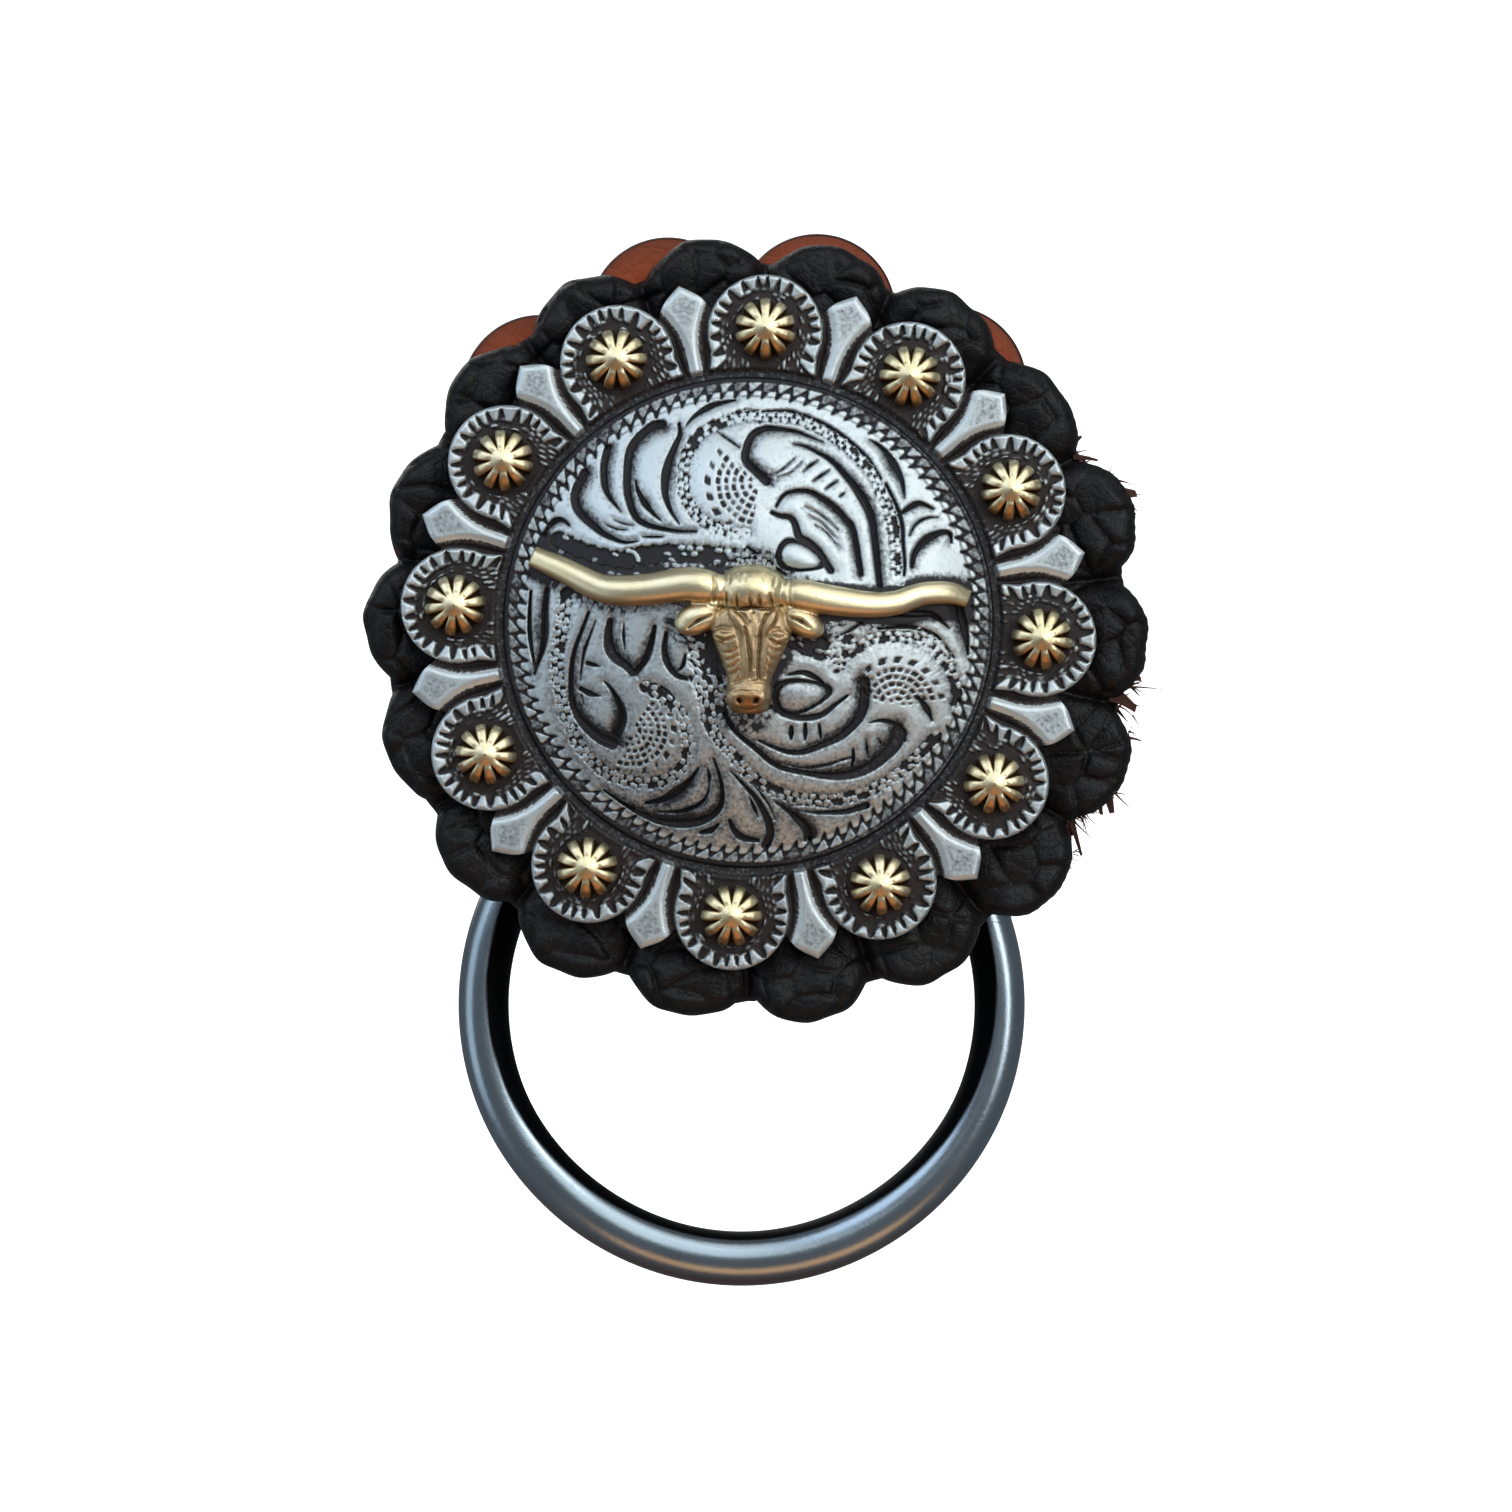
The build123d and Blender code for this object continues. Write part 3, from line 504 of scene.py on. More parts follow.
# %% Beaded grounds
beaded = [
    # points of the middle line, width, share of the beads that stand
    ([(-0.9, 11.2), (0.5, 11.2), (2, 11.2), (3.2, 10.75), (4.4, 10.1), (5.3, 9.4), (6.2, 8.5), (6.8, 7.4),
      (7.35, 6.3), (7.65, 5.2), (7.78, 4), (7.85, 2.9)], 0.52, 0.9),
    ([(-1.2, 11.1), (-1.9, 10.8), (-2.6, 10.45), (-3.2, 10), (-3.6, 9.4), (-3.9, 8.8), (-4, 8), (-3.95, 7.3),
      (-3.8, 6.6), (-3.3, 5.75), (-2.6, 5.2), (-2, 4.95), (-1.4, 4.8), (-0.4, 4.75)], 0.56, 0.9),
    ([(-6.6, 3.1), (-5.5, 3.3), (-4.5, 3.42), (-3, 3.45), (-1.5, 3.4), (-0.3, 3.3), (0.8, 2.9)], 0.95, 0.3),
    ([(-10, 1), (-10, 0.1), (-10.1, -1), (-10.2, -2), (-10.25, -3), (-10.05, -4.1), (-9.9, -5), (-9.5, -6),
      (-9.1, -6.8), (-8.5, -7.6), (-7.9, -8.2), (-7.2, -8.7), (-6.2, -9), (-5, -9.1), (-4, -8.8),
      (-3.4, -8.4), (-2.95, -7.8), (-2.85, -7.1), (-2.95, -6.3), (-3.15, -5.6), (-3.5, -5.05), (-4.0, -4.6),
      (-4.7, -4.15), (-5.35, -3.85)], 0.6, 0.85),
    ([(-2.3, -3.6), (-2.2, -4.3), (-2, -5.2), (-1.6, -6), (-1.1, -6.6), (-0.5, -7.2), (0.1, -7.9),
      (0.8, -8.5), (1.7, -9), (2.6, -9.3), (3.5, -9.45), (5, -9.4), (6, -9.2), (7, -8.85), (7.8, -8.4),
      (8.6, -7.8), (9.3, -7.1), (10, -6.3), (10.6, -5.6)], 0.58, 0.85),
    ([(4.9, -2.3), (5.6, -1.4), (6.6, -0.65), (7.7, -0.35), (8.9, -0.4), (10.1, -0.95), (11, -1.85),
      (11.55, -3), (11.6, -4)], 0.55, 0.85),
    ([(2.5, -0.7), (3.3, -1.1), (4.4, -1.3), (5.4, -1)], 1.1, 0.4),
    ([(-2.3, -0.9), (-2.35, -2), (-2.2, -3.2), (-1.6, -4.3)], 1.5, 0.12),
    ([(9.3, 0), (10.2, -0.4), (10.85, -1.1), (11.3, -2)], 0.3, 0.8),
    ([(-10.6, 3.9), (-9.4, 3.4), (-8, 3.05), (-6.7, 2.9)], 0.8, 0.12),
]

# %% Flowers, buds, and grime with painted shade
flowers = [
    # x, z, first bearing, spread, radius
    (0.1, 7.5, 140, 128, 3.25),
    (8.28, -4.2, 12, 152, 3.05),
    (-6.0, -6.3, 246, 176, 2.72),
]
flower_rings = [
    # share of radius, half width in mm, cuts in a whole circle, share cut
    (0.15, 0.09, 7, 0.55),
    (0.28, 0.10, 13, 0.60),
    (0.41, 0.10, 19, 0.64),
    (0.54, 0.10, 25, 0.64),
    (0.67, 0.11, 31, 0.60),
    (0.84, 0.15, 19, 0.34),
]
buds = [
    # x, z, half length, half width, turn in degrees, how far rubbed bright
    (2.65, 3.6, 1.08, 0.62, -12, 0.9),
    (3.15, -3.85, 1.3, 0.72, 14, 0.35),
]
# Grime and painted shade along the steer's head, where the horns and face shade the dome
grime_and_shade_lines = [
    # points, width
    ([(-11.7, 3.0), (-10.2, 2.4), (-8.2, 1.5), (-6.9, 1.35), (-4.4, 1.6), (-1.9, 1.6)], 2.2),
    ([(2.2, 1.4), (4.3, 1.2), (6.5, 1.05), (8, 1.25), (9.4, 1.8), (10.9, 1.9), (11.8, 1.7)], 1.9),
    ([(0.1, 1.5), (0.1, -1.0)], 4.6),
    ([(0.1, -1.0), (0.1, -4.3)], 3.1),
    ([(-3.3, -0.4), (3.5, -0.4)], 2.0),
]
print(len(beaded), "grounds,", len(flowers), "flowers,", len(buds), "buds")

# %% [markdown]
# ## How a line becomes a cut
# For every point of the sheet we need its distance from a smooth line through the stroke's points. The
# steps below also measure how far along the line that is, for the stroke's width, and on which side, for
# its lean.


# %% A smooth line and the distance from it
def smooth_line(points, spacing=0.14):
    """Even points on a smooth curve through the given ones."""
    given = np.array(points, float)
    padded = np.vstack([2 * given[0] - given[1], given, 2 * given[-1] - given[-2]])
    pieces = []
    for a, b, c, d in zip(padded, padded[1:], padded[2:], padded[3:]):
        count = max(int(np.linalg.norm(c - b) / spacing), 1)
        t = np.linspace(0, 1, count, endpoint=False)[:, None]
        bend = (c - a) * t + (2 * a - 5 * b + 4 * c - d) * t**2 + (3 * b - a - 3 * c + d) * t**3
        pieces.append(b + 0.5 * bend)
    return np.vstack(pieces + [given[-1:]])


def follow(line, x, z):
    """Distance from a line, how far along it, and which side of it: 1 on its left, -1 on its right."""
    gap, along, side = np.full(x.shape, 99.0), np.zeros(x.shape), np.ones(x.shape)
    done = 0.0
    for start, run in zip(line[:-1], np.diff(line, axis=0)):
        length = math.hypot(*run)
        off_x, off_z = x - start[0], z - start[1]
        share = np.clip((off_x * run[0] + off_z * run[1]) / length**2, 0, 1)
        away = np.hypot(off_x - share * run[0], off_z - share * run[1])
        closer = away < gap
        gap = np.where(closer, away, gap)
        along = np.where(closer, done + share * length, along)
        side = np.where(closer, np.sign(run[0] * off_z - run[1] * off_x), side)
        done += length
    return gap, along, side, done


def near_line(line, x, z, reach):
    """Which points could lie within a reach of a line."""
    low, high = line.min(0) - reach, line.max(0) + reach
    return (x > low[0]) & (x < high[0]) & (z > low[1]) & (z < high[1])


# %% Cuts of the strokes
stroke_reach = 1.2


def cut_strokes(x, z):
    """Distance from the nearest cut's edge, and how far the metal leans into one, from 0 to 1."""
    edge, lean = np.full(x.shape, 9.0), np.zeros(x.shape)
    for points, widths, way in strokes:
        line = smooth_line(points)
        near = near_line(line, x, z, stroke_reach)
        gap, along, side, total = follow(line, x[near], z[near])
        half = np.interp(along / total, (0, 0.5, 1), widths) / 2
        edge[near] = np.minimum(edge[near], gap - half)
        if way:
            slope = np.clip(1 - (gap - half) / (0.25 + 1.6 * half), 0, 1)
            lean[near] = np.maximum(lean[near], (side == way) * slope * np.minimum(half * 5, 1))
    return edge, lean


# %% [markdown]
# ## Beads on the punched grounds
# The ground is punched bead by bead, so no two are alike. Each ground is divided into rows along its
# middle line and each row into cells of half a millimetre. A cell holds one bead, whose size, place and
# slant come from the scatter, and some cells stay empty.

# %% Beads
bead_pitch, bead_row_width = 0.5, 0.28


def bead_grounds(x, z):
    """Distance from the nearest ground's edge, negative inside it, and the beads on it from 0 to 1."""
    edge, beads = np.full(x.shape, 9.0), np.zeros(x.shape)
    for number, (points, width, many) in enumerate(beaded):
        line = smooth_line(points)
        near = near_line(line, x, z, width)
        gap, along, side, _ = follow(line, x[near], z[near])
        waver = 0.05 * np.sin(along * 9 + number) + 0.03 * np.sin(along * 23 + 2 * number)
        edge[near] = np.minimum(edge[near], gap - width / 2 - waver)
        rows = max(round(width / bead_row_width), 1)
        across = gap * side
        row = np.floor((across + width / 2) / (width / rows))
        shifted = along / bead_pitch + 0.5 * (row % 2)
        index = np.floor(shifted)
        chance, other = scatter(index, row, number), scatter(index, row, number + 40)
        off_along = (shifted - index - 0.5 - 0.24 * (chance - 0.5)) * bead_pitch
        off_across = across - ((row + 0.5) * width / rows - width / 2) - 0.06 * (other - 0.5)
        lean_over = (other - 0.5) * 0.7
        long_way, short_way = off_along + lean_over * off_across, off_across - lean_over * off_along
        half_length, half_width = 0.19 + 0.09 * chance, 0.14 + 0.07 * other
        shape = np.abs(long_way / half_length) ** 2 + np.abs(short_way / half_width) ** 2
        stands = scatter(index, row, number + 80) < many
        bead = np.clip(1.25 - shape, 0, 1) * stands * (0.3 + 0.7 * many)
        beads[near] = np.maximum(beads[near], bead)
    return edge, beads


# %% [markdown]
# ## Cutting the flowers, buds, and grime with painted shade
# A flower's cuts are chopped out of rings: each ring has its own count and width, and the rings spiral a
# little, as they do when a chisel is turned by hand. A bud is an oval that is blunt at one end. Grime and
# painted shade make a soft-edged band round each line of its table.


# %% Cuts of the flowers, the buds, and the grime with painted shade
def cut_flowers(x, z):
    """Depth of the flowers' cuts, from 0 to 1."""
    cuts = np.zeros(x.shape)
    for centre_x, centre_z, first, spread, radius in flowers:
        out = np.hypot(x - centre_x, z - centre_z)
        bearing = (np.degrees(np.arctan2(z - centre_z, x - centre_x)) - first) % 360
        fan = step(-0.5, 4, bearing) * step(spread + 0.5, spread - 4, bearing)
        for share, half, count, duty in flower_rings:
            middle_out = share * radius
            phase = bearing / 360 * count + 0.5 * out
            chance = scatter(np.floor(phase), np.full(x.shape, share), np.full(x.shape, centre_x))
            mark = step(0.05, -0.03, np.abs(out - middle_out - 0.06 * (chance - 0.5)) - half)
            away = (np.abs(phase % 1 - 0.5) - duty * (0.35 + 0.3 * chance)) * 2 * math.pi * middle_out / count
            cuts = np.maximum(cuts, mark * step(0.06, -0.04, away) * (0.65 + 0.35 * chance) * fan)
    return cuts


def raise_buds(x, z):
    """How far inside a bud each point is, up to 1 at its middle, the dark line round it, and its polish."""
    inside, line, rubbed = np.zeros(x.shape), np.zeros(x.shape), np.zeros(x.shape)
    for centre_x, centre_z, half_length, half_width, turn, bright in buds:
        c, s = math.cos(math.radians(turn)), math.sin(math.radians(turn))
        a = ((x - centre_x) * c + (z - centre_z) * s) / half_length
        b = (-(x - centre_x) * s + (z - centre_z) * c) / half_width
        out = np.hypot(a, b * (1 + 0.35 * np.clip(a, -1, 1)))
        inside = np.maximum(inside, np.clip(1 - out**2, 0, 1))
        rubbed = np.where(out < 1, bright, rubbed)
        line = np.maximum(line, step(1.32, 1.2, out) * step(0.98, 1.04, out))
    return inside, line, rubbed


def gather_grime_and_shade(x, z):
    """Grime and painted shade from 0 to 1 along the steer's horns and face: dirt where a cloth can't reach,
    and the shade that the head casts on the dome.
    """
    grime_and_shade = np.zeros(x.shape)
    for points, width in grime_and_shade_lines:
        gap = follow(np.array(points, float), x, z)[0]
        grime_and_shade = np.maximum(grime_and_shade, np.exp(-((np.maximum(gap - width / 2, 0) / 0.4) ** 2)))
    return grime_and_shade


# %% [markdown]
# ## The engraved surface
# At a cut the metal drops straight down by a third of a millimetre, and beside it the leaf swells up
# again softly. The patina follows the depth: black in the cuts and on the grounds, a haze along their
# edges, and bright where a cloth rubs. The lower left of the dome is darkened with painted shade, and
# the top is lightened a little; along the steer's head, grime and painted shade darken the metal.

# %% Engrave a sheet: height change, and patina with painted shade
cut_depth, flower_depth, ground_depth = 0.32, 0.13, 0.22
leaf_swell, bead_rise, bud_rise = 0.11, 0.2, 0.26


def engrave(x, z):
    """Height change in millimetres, and patina with painted shade from 0 to 1, of the engraved field."""
    edge, lean = cut_strokes(x, z)
    ground_edge, beads = bead_grounds(x, z)
    flower = cut_flowers(x, z)
    bud, bud_line, rubbed = raise_buds(x, z)
    open_ground = step(-0.03, 0.08, ground_edge)
    cut = np.maximum(step(0.05, -0.05, edge) * open_ground, bud_line)
    ground = 1 - open_ground
    nearest = np.minimum(np.maximum(edge, 0), np.maximum(ground_edge, 0))
    height = leaf_swell * (1 - np.exp(-nearest / 0.42)) - 0.1 * lean
    height = height - cut_depth * cut - flower_depth * flower * open_ground
    beaded_floor = bead_rise * step(0, 0.6, beads) - ground_depth
    height = np.where(ground > 0, height * (1 - ground) + ground * beaded_floor, height)
    height = height + bud_rise * np.sqrt(bud)
    floor_wear = 1 - 0.2 * step(-0.08, -0.25, edge)
    bead_tops = step(0.05, 0.4, beads)
    patina_and_shade = np.maximum.reduce(
        [cut * floor_wear, 0.95 * flower * open_ground, ground * (1 - 0.95 * bead_tops)]
    )
    # Painted shade: the lower left of the dome is darker and the top a little lighter
    painted_lower_left_shade = 0.08 + 0.2 * step(3, 11, -0.25 * x - z) - 0.08 * step(-3, 4, z)
    haze_and_shade = painted_lower_left_shade + 0.36 * np.exp(-nearest / 0.3) * (1 - 0.8 * np.exp(-((nearest / 0.09) ** 2)))
    # Grime and painted shade along the steer's head
    grime_and_shade = 0.9 * gather_grime_and_shade(x, z) * (1 - 0.5 * bead_tops)
    patina_and_shade = np.maximum.reduce([patina_and_shade, 0.5 * lean + haze_and_shade, grime_and_shade])
    polished = patina_and_shade * (1 - rubbed * step(0.1, 0.3, bud))
    return height, np.clip(polished + 0.4 * (0.9 - rubbed) * (bud > 0), 0, 1)


# %% [markdown]
# ## The field
# A disc of evenly spread points is mapped from a square grid, which keeps the cells nearly square out to
# the rim. It is made in two halves, so that each stays a mesh of moderate size.


# %% The engraved field in two halves
def place_plate(u, v, height):
    """Points of the plate, which is turned a little, at a height above its face."""
    c, s = math.cos(plate_turn), math.sin(plate_turn)
    return np.stack([u * c + v * s, plate_face - height, v * c - u * s], axis=-1)


def dome_height(u, v):
    """Height of the plain dome above the plate's face."""
    return dome_top - ball_radius + np.sqrt(ball_radius**2 - u**2 - v**2)


cells, seam_radius = 180, 12.0
across, up = np.meshgrid(np.arange(-cells, cells + 1), np.arange(-cells, cells + 1))
reach = np.maximum(np.abs(across), np.abs(up))
wide = np.abs(across) >= np.abs(up)
turn = np.where(
    wide,
    math.pi / 4 * up / np.where(across == 0, 1, across) + math.pi * (across < 0),
    math.pi / 2 - math.pi / 4 * across / np.where(up == 0, 1, up) + math.pi * (up < 0),
)
field_u = seam_radius * reach / cells * np.cos(turn)
field_v = seam_radius * reach / cells * np.sin(turn)
halves = {"engraved_field_lower": slice(0, cells + 1), "engraved_field_upper": slice(cells, None)}
for name, rows in halves.items():
    u, v = field_u[rows], field_v[rows]
    change, patina_and_shade = engrave(u, v)
    points = place_plate(u, v, dome_height(u, v) + change).reshape(-1, 3)
    half = make_piece(name, points, grid_faces(*u.shape), silver, numbers={"patina_and_shade": patina_and_shade})
    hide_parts("concho_plate")

# %% [markdown]
# ## The border
# Round the field runs a row of teeth cut with a V tool: pale teeth point outwards, with dark notches
# between them, and a second row of short chips stands in the gaps. A fine raised line and a dark groove
# end it. The teeth lean a little and aren't quite even, because each one was struck by hand.

# %% The toothed border
teeth, groove_floor = 101, 0.12


def turn_steps(count):
    """Bearings in radians, evenly round a whole turn."""
    return np.arange(count) * 2 * math.pi / count


def border_relief(u, v):
    """Height and patina of the border, from the field's rim to the groove."""
    out, bearing = np.hypot(u, v), np.arctan2(v, u)
    phase = bearing / (2 * math.pi) * teeth + 0.6 * (out - field_radius) + 0.12 * np.sin(bearing * 7)
    change, patina_and_shade = engrave(u, v)
    inner = step(12.45, 12.25, out)
    off = np.abs(phase % 1 - 0.5) * 2
    chance = scatter(np.floor(phase), np.zeros(out.shape))
    tooth_width = np.interp(out - 0.12 * chance, (12.0, 12.15, 12.5, 12.72), (1.45, 0.86, 0.56, 0.05))
    tooth = step(tooth_width + 0.16, tooth_width - 0.16, off) * step(12.75, 12.6, out)
    chip_phase = phase + 0.5
    chip_chance = scatter(np.floor(chip_phase), np.ones(out.shape))
    chip_off = np.abs(chip_phase % 1 - 0.5) * 2
    chip_width = np.interp(out - 0.08 * chip_chance, (12.5, 12.62, 13.0, 13.1), (0.1, 0.36, 0.92, 0.7))
    chip = step(chip_width + 0.2, chip_width - 0.16, chip_off)
    chip = chip * step(12.45, 12.62, out) * step(13.24, 13.06, out)
    chip = chip * (0.4 + 0.55 * chip_chance)
    line = step(0.13, 0.03, np.abs(out - 13.27)) * (0.12 + 0.55 * step(-0.1, 0.8, u / out))
    top = np.where(out < field_radius, dome_height(u, v), border_level - 0.14 * (out - field_radius))
    raised = np.maximum.reduce([tooth, 0.85 * chip, 0.8 * line])
    groove = step(13.32, border_end, out)
    height = (top + change * inner - 0.24 * (1 - raised)) * (1 - groove) + groove_floor * groove
    dark = 0.96 - 0.92 * np.maximum.reduce([tooth, 0.85 * chip, 0.45 * line])
    patina_and_shade = np.maximum(np.where(out < 12.45, patina_and_shade * inner, 0), dark)
    return height, np.clip(np.maximum(patina_and_shade, 0.78 * groove), 0, 1)


# One spoke for each point of the field's edge
spokes, border_rows = 8 * cells, 29
bearings = turn_steps(spokes)
out, bearing = np.meshgrid(np.linspace(seam_radius, border_end, border_rows), bearings, indexing="ij")
u, v = out * np.cos(bearing), out * np.sin(bearing)
height, patina_and_shade = border_relief(u, v)
border = make_piece(
    "toothed_border", place_plate(u, v, height).reshape(-1, 3), grid_faces(*u.shape, closed=True), silver,
    numbers={"patina_and_shade": patina_and_shade},
)
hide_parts("concho_plate")

# %% [markdown]
# ## Lobes and tabs
# Twelve round lobes carry the berries. Each has a smooth bright rim, then a ring of pale chips with black
# wedges between them, then a dimple. Between two lobes stands a tab, narrow at its foot and wide at its
# roof, bevelled along its edges. One formula finds where a spoke leaves the outline, and the rows spread
# out to it. Because the lobes repeat, each bearing is first folded to its distance from the nearest lobe.

# %% Outline of lobes and tabs
lobe_count, lobe_ring, lobe_radius = 12, 15.9, 3.15
neck_half_width = 2.9
tab_tip, tab_corner, tab_half_width = 18.8, 17.8, 1.37
roof_slope = (tab_tip - tab_corner) / tab_half_width
web_radius = 17.3


def fold(bearing):
    """Bearing from the nearest lobe's middle, and from the nearest tab's, in radians."""
    pitch = 2 * math.pi / lobe_count
    from_lobe = (bearing - math.pi / 2 + pitch / 2) % pitch - pitch / 2
    return from_lobe, pitch / 2 - np.abs(from_lobe)


def plate_outline(bearing):
    """How far out the plate reaches at a bearing."""
    from_lobe, from_tab = fold(bearing)
    side = lobe_ring * np.sin(from_lobe)
    lobe = np.where(
        np.abs(side) < lobe_radius,
        lobe_ring * np.cos(from_lobe) + np.sqrt(np.maximum(lobe_radius**2 - side**2, 0)),
        0,
    )
    roof = tab_tip / (np.cos(from_tab) + roof_slope * np.sin(from_tab))
    roof = roof - 0.4 * np.clip(from_tab * tab_corner / tab_half_width, 0, 1) ** 5
    tab = np.where(roof * np.sin(from_tab) <= tab_half_width, roof, 0)
    return np.maximum.reduce([lobe, tab, np.full(bearing.shape, web_radius)])


# %% Relief of the lobes
lobe_level, rim_level = 0.5, 0.75
lobe_chips = 25
outward_fall = 0.045  # how far the lobes and tabs fall for each millimetre outwards


def lobe_relief(bearing, out):
    """Height and patina of the lobes, with painted shade on the lower ones, and the distance inside their
    outline.
    """
    from_lobe, _ = fold(bearing)
    number = np.round((bearing - math.pi / 2 - from_lobe) / (2 * math.pi / lobe_count)) % lobe_count
    a, b = out * np.cos(from_lobe) - lobe_ring, out * np.sin(from_lobe)
    from_middle, around = np.hypot(a, b), np.arctan2(b, a)
    in_circle, in_neck = lobe_radius - from_middle, neck_half_width - np.abs(b)
    inside = np.where(a > 0, in_circle, np.maximum(in_circle, in_neck))
    # Chips stand out from the rim, with wedges between them that come to a point near the edge
    phase = around / (2 * math.pi) * lobe_chips + 0.37 * number + 0.22 * np.sin(around * 5 + number)
    chance = scatter(np.floor(phase), number)
    off = np.abs(phase % 1 - 0.5) * 2
    depth_in = (inside - 0.06 - 0.16 * chance) / (0.5 + 0.3 * scatter(number, np.floor(phase)))
    chip_width = np.interp(depth_in, (-0.2, 0.1, 1.0), (1.25, 0.78, 0.38)) + 0.12 * (chance - 0.5)
    chip = step(chip_width + 0.15, chip_width - 0.15, off) * step(1.12, 0.92, depth_in)
    # Looser chips in rows on the side of the dome
    deep = (inside - 0.66) / 0.25
    row = np.floor(deep)
    speck_phase = around / (2 * math.pi) * (30 - 3 * row) + 0.5 * row + 0.11 * number
    speck_phase = speck_phase + 0.3 * np.sin(around * 3)
    speck_chance = scatter(np.floor(speck_phase), number + 5, row)
    off_along = (speck_phase % 1 - 0.5) * (1.7 + speck_chance)
    off_across = (deep % 1 - 0.5) * (1.5 + 0.9 * speck_chance)
    speck_shape = np.hypot(off_along, off_across)
    dome_side = (0.25 + 0.75 * step(0.9, -0.9, a)) * step(1.75, 1.95, from_middle)
    speck = step(1.0, 0.45, speck_shape) * (speck_chance < 0.25 + 0.55 * dome_side) * (row >= 0) * (row < 6)
    speck = speck * (0.45 + 0.55 * scatter(row, np.floor(speck_phase))) * step(1.75, 1.9, from_middle)
    raised = np.maximum(chip, 0.75 * speck)
    top = rim_level - 0.22 * np.clip(1 - inside / 0.22, 0, 1) ** 2 - 0.1 * np.clip(depth_in, 0, 1)
    floor = lobe_level - 0.1
    height = floor + (top - floor) * raised - outward_fall * (out - 14)
    height = (height - groove_floor) * step(-0.1, 0.03, inside) * step(13.72, 14.05, out)
    height = height + groove_floor * step(14.3, 13.7, out)
    # Painted shade: the lower lobes have darker chips
    dull = 0.22 * step(-5, -15, out * np.sin(bearing))
    patina_and_shade = np.maximum(0.86 - (0.85 - dull) * raised, 0.85 * step(0.05, -0.06, inside))
    patina_and_shade = np.maximum(patina_and_shade * step(13.6, 13.9, out), 0.78 * step(14.2, 13.8, out))
    return height, patina_and_shade, inside


# %% Relief of the tabs
tab_level = 0.6
tab_rows = [
    # out, half width in mm
    (13.8, 0.30),
    (14.6, 0.33),
    (15.4, 0.40),
    (16.0, 0.50),
    (16.6, 0.72),
    (17.2, 1.02),
    (17.8, 1.40),
]


def tab_relief(bearing, out):
    """Height and patina of the tabs, and the distance inside their outline."""
    _, from_tab = fold(bearing)
    along, aside = out * np.cos(from_tab), out * np.sin(from_tab)
    from_roof = (tab_tip - along - roof_slope * aside) / math.hypot(1, roof_slope)
    half = np.interp(along, *zip(*tab_rows))
    from_side = 0.9 * (half - aside)
    blend = np.clip(0.5 + (from_side - from_roof) / 1.1, 0, 1)
    inside = from_side * (1 - blend) + from_roof * blend - 0.28 * blend * (1 - blend)
    inside = np.where(from_side < 0, from_side, inside)
    height = tab_level - 0.2 * np.clip(1 - inside / 0.34, 0, 1) ** 2 - outward_fall * (out - 14)
    slope = step(0.0, -0.42, inside)
    height = (height - 0.02) * (1 - slope) * step(13.72, 14.0, out) + groove_floor * step(14.0, 13.7, out)
    bevel = step(-0.02, 0.08, inside) * step(0.42, 0.26, inside)
    wide_end = step(15.6, 17.0, along) * step(0.3, 0.6, inside)
    patina_and_shade = np.where(inside > 0, 0.1 * (1 - bevel) + 0.24 * wide_end, 0.7 + 0.2 * slope)
    return height, patina_and_shade, inside


def rim_relief(bearing, out):
    """Height and patina from the groove out to the plate's edge."""
    lobe, lobe_patina_and_shade, in_lobe = lobe_relief(bearing, out)
    tab, tab_patina, in_tab = tab_relief(bearing, out)
    height = np.maximum(lobe, tab)
    patina_and_shade = np.where(lobe >= tab, lobe_patina_and_shade, tab_patina)
    bare = (in_lobe < -0.1) & (in_tab < -0.42)
    return height, np.where(bare, 0.9, patina_and_shade)


# %% [markdown]
# ## Edge and back of the plate
# The same sheet goes on over the plate's edge and in behind. The casting is hollow behind its dome, as in
# most such pieces, because that saves metal: there the sheet follows the dome from inside, up to the hole
# for the screw.

# %% The ring of lobes and tabs, with its edge and back
screw_hole_radius = 1.8
dome_wall = 1.1  # from the front of the dome to the hollow behind
front_rows = 60
edge_out = plate_outline(bearings)
share = np.linspace(0, 1, front_rows)[:, None]
out = border_end + (edge_out[None, :] - border_end) * share
bearing = np.broadcast_to(bearings, out.shape)
height, patina_and_shade = rim_relief(bearing, np.minimum(out, edge_out - 0.03))
height[0], patina_and_shade[0] = groove_floor, 0.78
tarnish_and_shade = 0.7 * step(0.45, 0.8, patina_and_shade) * step(13.5, 14.2, out)
wall_levels = (0.35, 1.0)
wall_height = np.stack([height[-1] + (-plate_thickness - height[-1]) * level for level in wall_levels])
back_outs = np.stack([edge_out - 0.15, np.full(spokes, 13.5), np.full(spokes, 12.3)])
hollow_outs = np.repeat(np.array([[11.6], [9.2], [5.4], [screw_hole_radius]]), spokes, axis=1)
hollow = dome_height(hollow_outs, 0 * hollow_outs) - dome_wall
out = np.vstack([out, np.repeat(edge_out[None, :], len(wall_levels), axis=0), back_outs, hollow_outs])
height = np.vstack([height, wall_height, np.full(back_outs.shape, -plate_thickness), hollow])
unseen_rows = len(wall_levels) + len(back_outs) + len(hollow_outs)
patina_and_shade = np.vstack([patina_and_shade, np.full((unseen_rows, spokes), 0.75)])
tarnish_and_shade = np.vstack([tarnish_and_shade, np.full((unseen_rows, spokes), 0.3)])
u, v = out * np.cos(bearings), out * np.sin(bearings)
rim = make_piece(
    "lobes_and_tabs", place_plate(u, v, height).reshape(-1, 3), grid_faces(*u.shape, closed=True), silver,
    numbers={"patina_and_shade": patina_and_shade, "tarnish_and_shade": tarnish_and_shade},
)
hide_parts("concho_plate")

